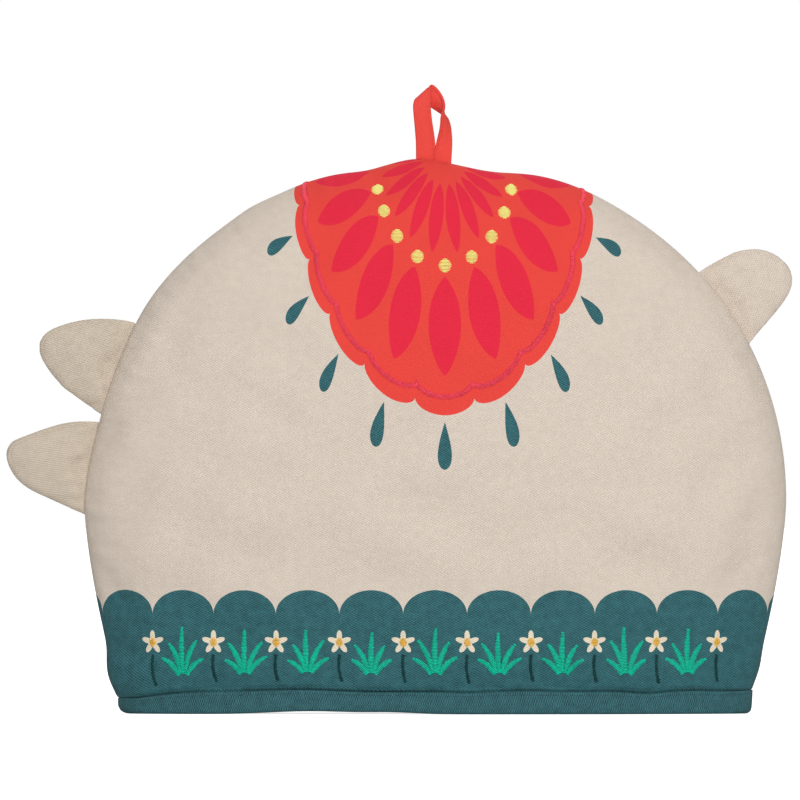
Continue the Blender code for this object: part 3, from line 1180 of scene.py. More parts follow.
@dataclass
class PaddedPanel:
    """One padded side of the cosy: outer cloth, padding and lining, as one closed form.

    Args:
        side: front or back.
        form: the CAD panels' form.
        pockets: where the seam opens round a caught piece.
        settling: how the outer cloth settles.
        lumps: the padding's soft unevenness.
        puckers: the seam's fine gathers.
        hem_gathers: the fine gathers over the binding.
        seam_hold: how far from the seam the cloth is held back; hem_hold, lump_hold and pucker_hold
            are the same for the hem, the lumps and the puckers.
        pucker_reach: how far the puckers run in from the seam; gather_reach is the hem gathers'.
        hem_puff: how far the cloth puffs out over the binding; left_puff is added at the left end.
        left_start: the share of the way left at which that begins, and left_span how soon it is full.
        deepest: how far in the settled cloth may sink.
        lips: where the outer cloth turns into the seam.
    """

    side: Side
    form: CosyForm
    pockets: list[Pocket]
    settling: Settling
    lumps: Lumps
    puckers: Lumps
    hem_gathers: Lumps
    wall: float = 0.006
    tongue: float = 0.003
    foot: float = 0.0017
    lower_ribs: int = 90
    upper_ribs: int = 420
    columns: int = 53
    inner_columns: int = 34
    coarse_step: int = 6
    last_share: float = 0.99883
    squeeze_rise: float = 0.0017
    hem_puff: float = 0.0010
    left_puff: float = 0.0017
    left_start: float = 0.72
    left_span: float = 0.28
    seam_hold: float = 0.012
    hem_hold: float = 0.003
    lump_hold: float = 0.030
    pucker_hold: float = 0.004
    pucker_reach: float = 0.011
    gather_reach: float = 0.010
    deepest: float = 0.0015
    puff_height: float = 0.0240
    puff_spread: float = 0.0085
    lips: tuple[Lip, ...] = (
        Lip(0.00025, 0.0011),
        Lip(0.00055, 0.0006),
        Lip(0.00110, 0.0002),
        Lip(0.00190, 0.0),
    )

    @property
    def node(self) -> str:
        """The name of the CAD node that the panel stands for."""
        return f"{self.side.name.lower()}_panel"

    def ribs(self, step: int = 1) -> Ribs:
        """Lays out the lines, up the left side, round the arch and down the right side.

        Args:
            step: every how many of them.

        Returns:
            The lines.
        """
        form = self.form
        spacing = np.linspace(0.0, 1.0, self.lower_ribs // step + 1)
        # closer where the cloth turns out over the binding
        turn_in = (BINDING_HEIGHT - 0.0007, BINDING_HEIGHT + 0.0033)
        rise = np.interp(spacing, (0.0, 0.06, 0.22, 1.0), (self.foot, *turn_in, form.widest_z))
        turn = np.linspace(180.0, 0.0, self.upper_ribs // step + 1)[1:-1]
        pole = np.full(len(turn), form.widest_z)
        start = np.concatenate([rise, pole, rise[::-1]])
        sides = (form.side_angle(rise, -1.0), turn, form.side_angle(rise, 1.0)[::-1])
        angle = np.concatenate(sides)
        radians = np.radians(turn)
        level = np.ones(len(rise))
        width = form.half_width(rise)
        edges = (width, form.arch_radius(turn), width[::-1])
        pressed = 1.0 - smooth_step((start - BINDING_HEIGHT) / self.squeeze_rise)
        return Ribs(
            start=start,
            across=np.concatenate([-level, np.cos(radians), level]),
            upward=np.concatenate([level * 0.0, np.sin(radians), level * 0.0]),
            angle=angle,
            reach=np.concatenate(edges) + waved(ARCH_WAVES, angle),
            depth=form.half_depth(start),
            squeeze=pressed,
        )

    def seam_half_gap(self, angle: Array) -> Array:
        """Half the gap between the panels at the seam, which is closed but for its pockets."""
        return np.max([pocket.opened(angle) for pocket in self.pockets], axis=0)

    def skin(self, ribs: Ribs, shares: Array, inset: Array) -> Array:
        """Points of a skin that lies this far inside the full outer one.

        Args:
            ribs: the lines.
            shares: of the way along each line.
            inset: one for each line.

        Returns:
            A grid of points: lines, shares, and x, y and z.
        """
        opened = self.seam_half_gap(ribs.angle)[:, None] * shares[None, :] ** 8
        along = (ribs.reach - inset)[:, None] * shares[None, :]
        depth = (ribs.depth - inset)[:, None]
        y = opened + (depth - opened) * self.form.swell(shares)[None, :]
        x = along * ribs.across[:, None]
        z = ribs.start[:, None] + along * ribs.upward[:, None]
        return np.stack([x, -y, z], axis=2)

    def outer_shares(self, count: int) -> Array:
        """Shares that step evenly along the cloth, and more closely at the seam."""
        fine = np.linspace(0.0, self.last_share, 4000)
        flat = fine * self.form.widest_half
        rise = self.form.swell(fine) * self.form.widest_depth
        length = flat_lengths(flat, rise)
        steps = np.linspace(0.0, 1.0, count)
        eased = steps + 0.07 * np.sin(np.pi * steps)
        return np.interp(eased * length[-1], length, fine)

    def flat_points(self, ribs: Ribs, lengths: Array) -> Array:
        """Cloth coordinates from the length along each line."""
        u = lengths * ribs.across[:, None]
        v = ribs.start[:, None] + lengths * ribs.upward[:, None]
        return np.stack([-self.side.value * u, v], axis=2)

    def settled_swell(self, shares: Array) -> Array:
        """How far the settled cloth stands off its form, at every line and share.

        Args:
            shares: of the way along each line.
        """
        rows = 2 * self.lower_ribs + self.upper_ribs + 1
        ribs = self.ribs(self.coarse_step)
        wide = self.outer_shares(1 + (len(shares) - 1) // 2)
        inset = (self.wall - self.tongue) / 2 * ribs.squeeze
        grid = self.skin(ribs, wide, inset)
        normals = self.normals(grid)
        number = place_numbers(grid)
        first = np.zeros(number.max() + 1, int)
        first[number] = np.arange(len(number))
        points = grid.reshape(-1, 3)[first]
        quads = number[grid_quads(*grid.shape[:2])[:, ::-1]]
        corners = [[c for k, c in enumerate(q) if c != q[k - 1]] for q in quads.tolist()]
        held = np.zeros(grid.shape[:2])
        held[:, -2:] = 1.0
        held[grid[:, 0, 2] < BINDING_HEIGHT + 0.002] = 1.0
        rest = self.settling.settled(points, corners, held.reshape(-1)[first])
        moved = (rest - points)[number].reshape(grid.shape)
        swell = np.maximum(np.sum(moved * normals, axis=2), -self.deepest)
        return spread_out(swell, rows, len(shares))

    @staticmethod
    def normals(grid: Array) -> Array:
        """Outward directions over the outer cloth; straight forwards on its middle line."""
        out = unit(np.cross(np.gradient(grid, axis=0), np.gradient(grid, axis=1)))
        out[:, 0] = (0.0, -1.0, 0.0)
        return out

    def standing_off(self, ribs: Ribs, shares: Array, flat: Array) -> Array:
        """How far the outer cloth stands off its plain form, at every line and share.

        Args:
            ribs: the lines.
            shares: of the way along each.
            flat: cloth coordinates of the points.

        Returns:
            Distances along the outward directions.
        """
        u, v = flat[:, :, 0], flat[:, :, 1]
        to_seam = ribs.reach[:, None] * (1.0 - shares)[None, :]
        height = ribs.start[:, None] + ribs.reach[:, None] * shares[None, :] * ribs.upward[:, None]
        held_seam = smooth_step(to_seam / self.seam_hold)
        held_hem = smooth_step((height - BINDING_HEIGHT) / self.hem_hold)
        stood = self.settled_swell(shares) + self.lumps.at(u, v) * smooth_step(to_seam / self.lump_hold)
        stood = stood * held_seam
        seam_fade = smooth_step(to_seam / self.pucker_hold) * np.exp(-to_seam / self.pucker_reach)
        along_seam = np.cumsum(np.hypot(*np.gradient(flat[:, -1], axis=0).T))[:, None]
        stood = stood + self.puckers.at(along_seam, to_seam * 0.25) * seam_fade
        hem_fade = np.exp(-(height - BINDING_HEIGHT) / self.gather_reach)
        stood = stood + self.hem_gathers.at(u, v * 0.2) * hem_fade * held_seam
        bulge = np.exp(-(((height - self.puff_height) / self.puff_spread) ** 2))
        leftward = smooth_step((-ribs.across[:, None] * shares - self.left_start) / self.left_span)
        return (stood + bulge * (self.hem_puff + self.left_puff * leftward)) * held_hem

    def build(self, materials: list[Material]) -> Object:
        """Builds the panel: outer cloth, the turn into the seam, and lining.

        Args:
            materials: of the outer cloth and of the lining.

        Returns:
            The closed piece.
        """
        ribs = self.ribs()
        shares = self.outer_shares(self.columns)
        pressed = (self.wall - self.tongue) / 2 * ribs.squeeze
        outer = self.skin(ribs, shares, pressed)
        outer_flat = self.flat_points(ribs, lengths_along(outer))
        stood = self.standing_off(ribs, shares, outer_flat)
        number = place_numbers(outer)
        stood = (np.bincount(number, stood.ravel()) / np.bincount(number))[number].reshape(stood.shape)
        outer = outer + self.normals(outer) * stood[:, :, None]
        edge_flat = outer_flat[:, -1]
        outward = np.stack([-self.side.value * ribs.across, ribs.upward], 1)
        gap = self.seam_half_gap(ribs.angle)
        turned, turned_flat = [], []
        for lip in self.lips:
            along = ribs.reach - pressed - lip.inset
            x = along * ribs.across
            z = ribs.start + along * ribs.upward
            turned.append(np.stack([x, -np.maximum(gap, lip.half_gap), z], 1))
            turned_flat.append(edge_flat + outward * (lip.inset + 0.0008))
        outer = np.concatenate([outer, np.stack(turned, 1)], axis=1)
        outer_flat = np.concatenate([outer_flat, np.stack(turned_flat, 1)], axis=1)
        inner = self.skin(ribs, np.linspace(1.0, 0.0, self.inner_columns), self.wall - pressed)
        inner_lengths = lengths_along(inner[:, ::-1])[:, ::-1]
        inner_flat = self.flat_points(ribs, inner_lengths) + np.array((LINING_SHIFT, 0.0))
        rows, columns = outer.shape[:2]
        points = np.concatenate([outer, inner], axis=1)
        points[:, :, 2] += hem_shift(points[:, :, 0], points[:, :, 2])
        flat = np.concatenate([outer_flat, inner_flat], axis=1)
        quads = grid_quads(*points.shape[:2])
        corner_flat = flat.reshape(-1, 2)[quads]
        column = quads[:, 0] % points.shape[1]
        rim = column == columns - 1
        corner_flat[rim] = self.rim_flat(flat, quads[rim])
        points = points * np.array((1.0, -self.side.value, 1.0)) + np.array((self.form.middle_x, 0.0, 0.0))
        lined = (column >= columns - 1).astype(int)
        panel = object_from_quads(f"{self.node}_cloth", points, quads, corner_flat, materials, lined)
        close_up(panel)
        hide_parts(self.node)
        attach(panel, BODY)
        log.info("%s: %d ribs of %d points", self.node, rows, columns)
        return panel

    @staticmethod
    def rim_flat(flat: Array, quads: Array) -> Array:
        """Cloth coordinates of the strip inside the seam, laid out on its own."""
        strip = flat.reshape(-1, 2)[quads]
        strip[:, 1:3] = strip[:, (0, 3)] + np.array((0.0, 0.004))
        return strip + np.array((LINING_SHIFT * 2, 0.0))


# ---- the padded tabs


@dataclass
class PaddedTab:
    """A padded tab, sewn from two layers, turned out and caught in the seam between the panels.

    Args:
        tab: which one.
        middle_x: where the cosy's own middle line stands.
        settling: how its cloth settles.
        lumps: the padding's unevenness.
        gathers: fine folds that run out from the seam.
    """

    tab: Tab
    middle_x: float
    settling: Settling
    lumps: Lumps
    gathers: Lumps
    rows: int = 22
    columns: int = 20
    rounds: int = 3
    rim_reach: float = 0.0150
    seam_reach: float = 0.0130
    seam_start: float = 0.0010
    held_length: float = 0.0012
    groove: float = 0.00025
    seam_inset: float = 0.0016

    def edge_line(self) -> Array:
        """The tab's edge, smoothly curved, out along its axis and off it."""
        return curved(np.array(self.tab.value.edge), self.rounds)

    def rim_distance(self, place: Array) -> Array:
        """From each place on the tab's flat to its edge."""
        line = curved(np.array(self.tab.value.edge), 5)
        flat = place.reshape(-1, 2)
        return np.min(np.linalg.norm(flat[:, None] - line[None], axis=2), axis=1).reshape(place.shape[:-1])

    def half_thickness(self, place: Array) -> Array:
        """Half the filled tab's thickness at each place on its flat."""
        from_rim = np.clip(1.0 - self.rim_distance(place) / self.rim_reach, 0.0, 1.0)
        from_seam = np.clip(1.0 - (place[..., 0] - self.seam_start) / self.seam_reach, 0.0, 1.0)
        filled = TAB_SEAM_HALF + (self.tab.value.half_thick - TAB_SEAM_HALF) * (1.0 - from_seam**2) ** 0.7
        return filled * np.sqrt(1.0 - from_rim**2.4)

    def cage(self, material: Material) -> Object:
        """The closed form before it settles, with cloth coordinates along its axis and off it.

        Args:
            material: of its cloth.

        Returns:
            The piece, whose two layers share their edge but aren't joined yet.
        """
        plan = self.tab.value
        along, across = plan.directions
        line = self.edge_line()
        tip = int(np.argmax(line[:, 0]))
        shares = np.sin(np.linspace(0.0, math.pi / 2, self.rows))
        upper = resampled(line[: tip + 1], shares)[:, None]
        lower = resampled(line[tip:][::-1], shares)[:, None]
        share = (1.0 - np.cos(np.linspace(0.0, math.pi, self.columns + 1)))[None, :, None] / 2
        place = upper * (1.0 - share) + lower * share
        half = self.half_thickness(place)
        half[:, (0, -1)] = 0.0
        half[-1] = 0.0
        middle = np.array((plan.base_x + self.middle_x, 0.0, plan.base_z))
        flat = middle + place[..., :1] * along + place[..., 1:] * across
        off = half[..., None] * np.array((0.0, 1.0, 0.0))
        points = np.stack([flat - off, flat + off])
        quads = grid_quads(*half.shape)
        quads = np.concatenate([quads, quads[:, ::-1] + half.size])
        cloth = np.stack([place[..., ::-1], place[..., ::-1] + (0.3, 0.0)]).reshape(-1, 2)
        return object_from_quads(f"{self.tab.node}_cloth", points, quads, cloth[quads], [material])

    def place_of(self, points: Array) -> tuple[Array, Array]:
        """How far along the tab and how far across it each point lies."""
        plan = self.tab.value
        along, across = plan.directions
        beside = points - np.array((plan.base_x + self.middle_x, 0.0, plan.base_z))
        return beside @ along, beside @ across

    def settle(self, piece: Object) -> None:
        """Lets the filled cloth find its shape, held where the seam catches it."""
        points = mesh_points(piece.data)
        along, _ = self.place_of(points)
        faces = [list(face.vertices) for face in piece.data.polygons]
        held = (along < self.held_length).astype(float)
        set_mesh_points(piece.data, self.settling.settled(points, faces, held))

    def soften(self, piece: Object) -> None:
        """Adds the padding's lumps, the gathers at the seam and the groove along the edge seam.

        Args:
            piece: the tab, which is changed in place.
        """
        points = mesh_points(piece.data)
        normals = np.zeros(len(points) * 3, np.float32)
        piece.data.vertices.foreach_get("normal", normals)
        normals = normals.reshape(-1, 3).astype(float)
        along, across = self.place_of(points)
        rear = np.where(normals[:, 1] > 0, 0.3, 0.0)
        free = smooth_step((along - self.held_length) / 0.006)
        facing = smooth_step(np.abs(normals[:, 1]) / 0.6)
        stood = self.lumps.at(across + rear, along) * free * facing
        near_seam = np.exp(-np.maximum(0.0, along - self.held_length) / 0.008)
        stood = stood + self.gathers.at(across + rear, along * 0.15) * near_seam * free * facing
        to_rim = self.rim_distance(np.stack([along, across], 1))
        front_upper = (normals[:, 1] < 0) * smooth_step((across + 0.004) / 0.008)
        groove = np.exp(-(((to_rim - self.seam_inset) / 0.0005) ** 2)) * front_upper
        set_mesh_points(piece.data, points + normals * (stood - self.groove * groove * free)[:, None])

    def build(self, material: Material) -> Object:
        """Builds the tab.

        Args:
            material: of its cloth.

        Returns:
            The closed piece.
        """
        piece = self.cage(material)
        close_up(piece)
        self.settle(piece)
        finer = piece.modifiers.new("finer", "SUBSURF")
        finer.levels = finer.render_levels = 2
        settled_mesh(piece)
        self.soften(piece)
        piece.data.shade_smooth()
        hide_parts(self.tab.node)
        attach(piece, BODY)
        log.info("%s: %d faces", self.tab.node, len(piece.data.polygons))
        return piece


# ---- the binding


@dataclass
class HemBinding:
    """The strip that wraps the panels' lower edges, in one ring, folded under at the top.

    Args:
        form: the CAD panels' form.
        lumps: its unevenness.
        tucks: how far its lower edge is drawn in at the left and right ends.
        end_rise: how much higher its upper edge runs at both ends.
        end_power: how close to the ends both of these stay.
        join_fade: how far from the ring's join its unevenness is full.
    """

    form: CosyForm
    lumps: Lumps
    node: str = "hem_binding"
    outside: float = -0.0002
    inside: float = 0.0062
    outer_face: float = 0.0010
    inner_face: float = 0.0050
    floor_height: float = 0.0012
    foot_radius: float = 0.0018
    steps: int = 420
    stitch_drop: float = 0.0021
    stitch_half: float = 0.00165
    stitch_steps: int = 700
    tucks: tuple[float, float] = (0.0048, 0.0022)
    tuck_height: float = 0.0052
    end_rise: float = 0.0010
    end_power: int = 24
    join_fade: float = 0.03

    def profile(self) -> Array:
        """The closed section: distance in from the outer face, and height."""
        turn = np.linspace(0.0, math.pi, 7)
        quarter = np.linspace(0.0, math.pi / 2, 5)
        folds = []
        for out, into in ((self.outside, self.outer_face), (self.inner_face, self.inside)):
            radius = (into - out) / 2
            inset = out + radius - radius * np.cos(turn)
            folds.append(np.stack([inset, BINDING_HEIGHT - radius + radius * np.sin(turn)], 1))
        outer_fold, inner_fold = folds
        heights = np.linspace(self.foot_radius + 0.0018, BINDING_HEIGHT - 0.0018, 5)
        outer_wall = np.stack([np.full(5, self.outside), heights], 1)
        inner_wall = np.stack([np.full(5, self.inside), heights[::-1]], 1)
        radius = self.foot_radius
        cosine, sine = radius * np.cos(quarter), radius * np.sin(quarter)
        near_foot = np.stack([self.inside - radius + cosine, radius - sine], 1)
        far_foot = np.stack([self.outside + radius - sine, radius - cosine], 1)
        slot = np.array(((self.outer_face, self.floor_height), (self.inner_face, self.floor_height)))
        return np.concatenate([outer_wall, outer_fold, slot, inner_fold, inner_wall, near_foot, far_foot])

    def ring(self, inset: Array, turn: Array) -> tuple[Array, Array]:
        """Where the ring runs, at turns round it, this far in from its outer face.

        Args:
            inset: from the outer face.
            turn: radians round the ring, 0 in the middle of the front.

        Returns:
            Its x and y, with a row for each turn and a column for each inset.
        """
        width = self.form.half_width(np.array(0.0)) - inset[None, :]
        depth = self.form.half_depth(np.array(0.0)) - inset[None, :]
        side = np.sin(turn)[:, None]
        x = width * side
        y = -np.copysign(depth * self.form.swell(side), np.cos(turn)[:, None])
        return x, y

    def turns(self) -> Array:
        """Turns round the ring that step evenly along it, from the middle of the back."""
        fine = np.linspace(-math.pi, math.pi, 40001)
        x, y = self.ring(np.zeros(1), fine)
        length = flat_lengths(x[:, 0], y[:, 0])
        return np.interp(np.linspace(0.0, length[-1], self.steps + 1), length, fine)

    def build(self, material: Material) -> Object:
        """Builds the binding.

        Args:
            material: of its cloth.

        Returns:
            The closed piece.
        """
        profile = self.profile()
        inset, height = profile[:, 0], profile[:, 1]
        turns = self.turns()
        x, y = self.ring(inset, turns)
        around = flat_lengths(x[:, 0], y[:, 0])
        raised = way_up(height)[None, :]
        near_end = (np.abs(x) / self.form.half_width(np.array(0.0))) ** self.end_power
        z = height[None, :] + hem_shift(x, height[None, :]) + raised * near_end * self.end_rise
        low = np.maximum(0.0, 1.0 - height / self.tuck_height)[None, :]
        low = 1.0 - np.sqrt(1.0 - low * low)
        x = x - np.sign(x) * np.where(x < 0, *self.tucks) * low * near_end
        ends = smooth_step(np.minimum(around, around[-1] - around) / self.join_fade)[:, None]
        waver = self.lumps.at(around[:, None], height[None, :]) * ends
        outwards = np.stack([np.gradient(y, axis=0), -np.gradient(x, axis=0), z * 0.0], 2)
        points = np.stack([x + self.form.middle_x, y, z], 2)
        points = points + unit(outwards) * (waver * raised)[:, :, None]
        points = np.concatenate([points, points[:, :1]], 1)
        down = lengths_along(points[self.steps // 2 : self.steps // 2 + 1])[0]
        flat = np.stack(np.meshgrid(around, down, indexing="ij"), 2).reshape(-1, 2)
        quads = grid_quads(*points.shape[:2])
        piece = object_from_quads("binding_strip", points, quads, flat[quads], [material])
        close_up(piece)
        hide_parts(self.node)
        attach(piece, BODY)
        log.info("%s: ring of %.3f m, section %.1f mm round", self.node, around[-1], down[-1] * 1000)
        return piece

    def stitch_lines(self) -> list["StitchPath"]:
        """The line of stitches that holds the outer fold, in the binding's cloth coordinates."""
        profile = self.profile()
        wall = profile[:6]  # the outer wall and the first point of its fold
        height = BINDING_HEIGHT - self.stitch_drop
        level = float(np.interp(height, wall[:, 1], lengths_along(wall[None])[0]))
        x, y = self.ring(np.array((self.outside,)), self.turns())
        length = float(flat_lengths(x[:, 0], y[:, 0])[-1])
        places = [(length * step / self.stitch_steps, level) for step in range(1, self.stitch_steps)]
        return [StitchPath(places, [self.stitch_half] * len(places))]


# ---- the hanging loop


@dataclass(frozen=True)
class TapeRow:
    """A crosswise line of the loop's tape.

    Args:
        outer: its outer edge, from the cosy's middle line.
        inner: its inner edge.
    """

    outer: tuple[float, float, float]
    inner: tuple[float, float, float]


TAPE_ROWS = (
    TapeRow((-0.0099, 0.0000, TAPE_END_Z), (-0.0005, 0.0000, TAPE_END_Z)),
    TapeRow((-0.0099, 0.0000, 0.2890), (-0.0001, 0.0000, 0.2890)),
    TapeRow((-0.0099, -0.0004, 0.2980), (0.0006, -0.0004, 0.2960)),
    TapeRow((-0.0110, -0.0016, 0.3090), (-0.0016, -0.0016, 0.3080)),
    TapeRow((-0.0115, -0.0024, 0.3146), (-0.0024, -0.0020, 0.3170)),
    TapeRow((-0.0115, -0.0022, 0.3172), (-0.0025, -0.0016, 0.3245)),
    TapeRow((-0.0104, -0.0004, 0.3190), (-0.0016, 0.0000, 0.3274)),
    TapeRow((-0.0088, 0.0016, 0.3178), (0.0007, 0.0014, 0.3258)),
    TapeRow((-0.0026, 0.0038, 0.3156), (0.0038, 0.0002, 0.3219)),
    TapeRow((0.0020, 0.0052, 0.3126), (0.0055, -0.0024, 0.3156)),
    TapeRow((0.0065, 0.0044, 0.3104), (0.0031, -0.0038, 0.3108)),
    TapeRow((0.0083, 0.0030, 0.3048), (0.0034, -0.0032, 0.3054)),
    TapeRow((0.0092, 0.0014, 0.2975), (0.0002, -0.0016, 0.2956)),
    TapeRow((0.0086, 0.0003, 0.2890), (-0.0007, -0.0008, 0.2890)),
    TapeRow((0.0083, 0.0000, TAPE_END_Z), (-0.0005, 0.0000, TAPE_END_Z)),
)


@dataclass
class HangingLoop:
    """The tape sewn into the crown seam, with one turn at its top.

    It is a strip folded in two lengthwise and topstitched along its open edge.

    Args:
        middle_x: where the cosy's own middle line stands.
        rows: the tape's crosswise lines, from one sewn-in end to the other.
    """

    middle_x: float
    rows: tuple[TapeRow, ...] = TAPE_ROWS
    node: str = "hanging_loop"
    thickness: float = 0.0016
    slot_half: float = 0.00005
    slot_start: float = 0.0014
    rounds: int = 3
    stitch_inset: float = 0.0014
    stitch_start: float = 0.004
    stitch_half: float = 0.0010
    groove: float = 0.00040
    side_points: int = 6  # of each flat side in the section
    fold_points: int = 7  # of the folded edge, between the sides

    def spine(self) -> tuple[Array, Array]:
        """The folded edge and the open edge of the tape's middle surface, smoothly curved."""
        edges = curved(np.array([(row.outer, row.inner) for row in self.rows]), self.rounds)
        edges = edges + np.array((self.middle_x, 0.0, 0.0))
        return edges[:, 0], edges[:, 1]

    def section(self, width: float) -> Array:
        """The folded strip's closed outline: distance from the folded edge, and off the middle.

        Args:
            width: of the folded strip.

        Returns:
            The outline's points, from the folded edge along the outer side.
        """
        half = self.thickness / 2
        edge = (half - self.slot_half) / 2
        fold = np.radians(np.linspace(90, 270, self.fold_points + 2))
        turn = np.radians(np.linspace(90, -90, 5))
        near = width - self.stitch_inset
        across = np.array((half, width * 0.45, near - 0.0006, near, near + 0.0005, width - edge))
        upper_side = np.stack([across, half - self.groove * (across == near)], 1)
        upper_edge = np.stack([np.cos(turn), np.sin(turn)], 1) * edge + (width - edge, half - edge)
        slot = np.array(((self.slot_start, self.slot_half), (self.slot_start, -self.slot_half)))
        lower_edge = upper_edge[::-1] * (1.0, -1.0)
        lower_side = upper_side[::-1] * (1.0, -1.0)
        bend = np.stack([np.cos(fold[::-1]), np.sin(fold[::-1])], 1) * half + (half, 0.0)
        parts = [upper_side, upper_edge[1:], slot, lower_edge[:-1], lower_side, bend[1:-1]]
        return np.concatenate(parts)

    def build(self, material: Material) -> Object:
        """Builds the loop.

        Args:
            material: of its tape.

        Returns:
            The closed piece.
        """
        folded, opened = self.spine()
        run = lengths_along(((folded + opened) / 2)[None])[0]
        across = opened - folded
        width = float(np.mean(np.linalg.norm(across, axis=1)))
        out = np.cross(np.gradient((folded + opened) / 2, axis=0), across)
        section = self.section(width)
        share = section[:, 0] / width
        points = folded[:, None] + across[:, None] * share[None, :, None]
        points = points + unit(out)[:, None] * section[None, :, 1:]
        points = np.concatenate([points, points[:, :1]], 1)
        ring = np.concatenate([section, section[:1]])
        around = lengths_along(ring[None])[0]
        flat = np.stack(np.meshgrid(run, around, indexing="ij")[::-1], 2).reshape(-1, 2)
        quads = grid_quads(*points.shape[:2])
        piece = object_from_quads("loop_tape", points, quads, flat[quads], [material])
        close_up(piece)
        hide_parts(self.node)
        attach(piece, BODY)
        log.info("%s: strip of %.1f x %.1f mm", self.node, around[-1] * 500, run[-1] * 1000)
        return piece

    def stitch_lines(self) -> list["StitchPath"]:
        """The topstitch near the open edge, on both faces of the tape."""
        folded, opened = self.spine()
        length = float(lengths_along(((folded + opened) / 2)[None])[0, -1])
        width = float(np.mean(np.linalg.norm(opened - folded, axis=1)))
        section = self.section(width)
        around = lengths_along(section[None])[0]
        near = width - self.stitch_inset
        upper = float(np.interp(near, section[: self.side_points, 0], around[: self.side_points]))
        after_lower = len(section) - self.fold_points
        lower_side = slice(after_lower - self.side_points, after_lower)
        lower = float(np.interp(near, section[lower_side, 0][::-1], around[lower_side][::-1]))
        steps = np.linspace(self.stitch_start, length - self.stitch_start, 90)
        halves = [self.stitch_half] * len(steps)
        return [StitchPath([(u, float(v)) for v in steps], halves) for u in (upper, lower)]


# ---- stitches


@dataclass
class StitchPath:
    """A line along which threads are laid, in a cloth's coordinates.

    Args:
        places: points along it.
        half_widths: half the length of the threads laid at each point.
    """

    places: list[tuple[float, float]]
    half_widths: list[float]


class Lay(Enum):
    """Which way threads lie; the value says whether that is across their path."""

    ACROSS = True
    ALONG = False


@dataclass(frozen=True)
class Thread:
    """One stitch's thread, made once at unit size and laid many times.

    Args:
        rings: closed lines of points along it, without its two ends.
        flatness: how evenly thick it stays towards its ends.
    """

    rings: int = 5
    flatness: float = 3.0

    def build(self) -> Object:
        """Builds the unit thread, along X from -1 to 1, half as wide again, rising along Z to 1."""
        section = ((-1.0, 0.0), (-0.5, 0.9), (0.5, 0.9), (1.0, 0.0))
        mesh = bmesh.new()
        lines = []
        for number in range(self.rings):
            x = -0.86 + 1.72 * number / (self.rings - 1)
            size = (1.0 - abs(x) ** self.flatness) ** 0.6
            lines.append([mesh.verts.new((x, y * (0.45 + 0.55 * size), z * size)) for y, z in section])
        for before, after in zip(lines, lines[1:]):
            for corner in range(4):
                after_corner = (corner + 1) % 4
                mesh.faces.new((before[corner], before[after_corner], after[after_corner], after[corner]))
        for line, x in ((lines[0], -1.0), (lines[-1], 1.0)):
            tip = mesh.verts.new((x, 0.0, 0.0))
            for corner in range(4):
                mesh.faces.new((line[corner], line[(corner + 1) % 4], tip))
        bmesh.ops.recalc_face_normals(mesh, faces=mesh.faces)
        data = bpy.data.meshes.new("thread")
        mesh.to_mesh(data)
        mesh.free()
        data.shade_smooth()
        return bpy.data.objects.new("thread", data)


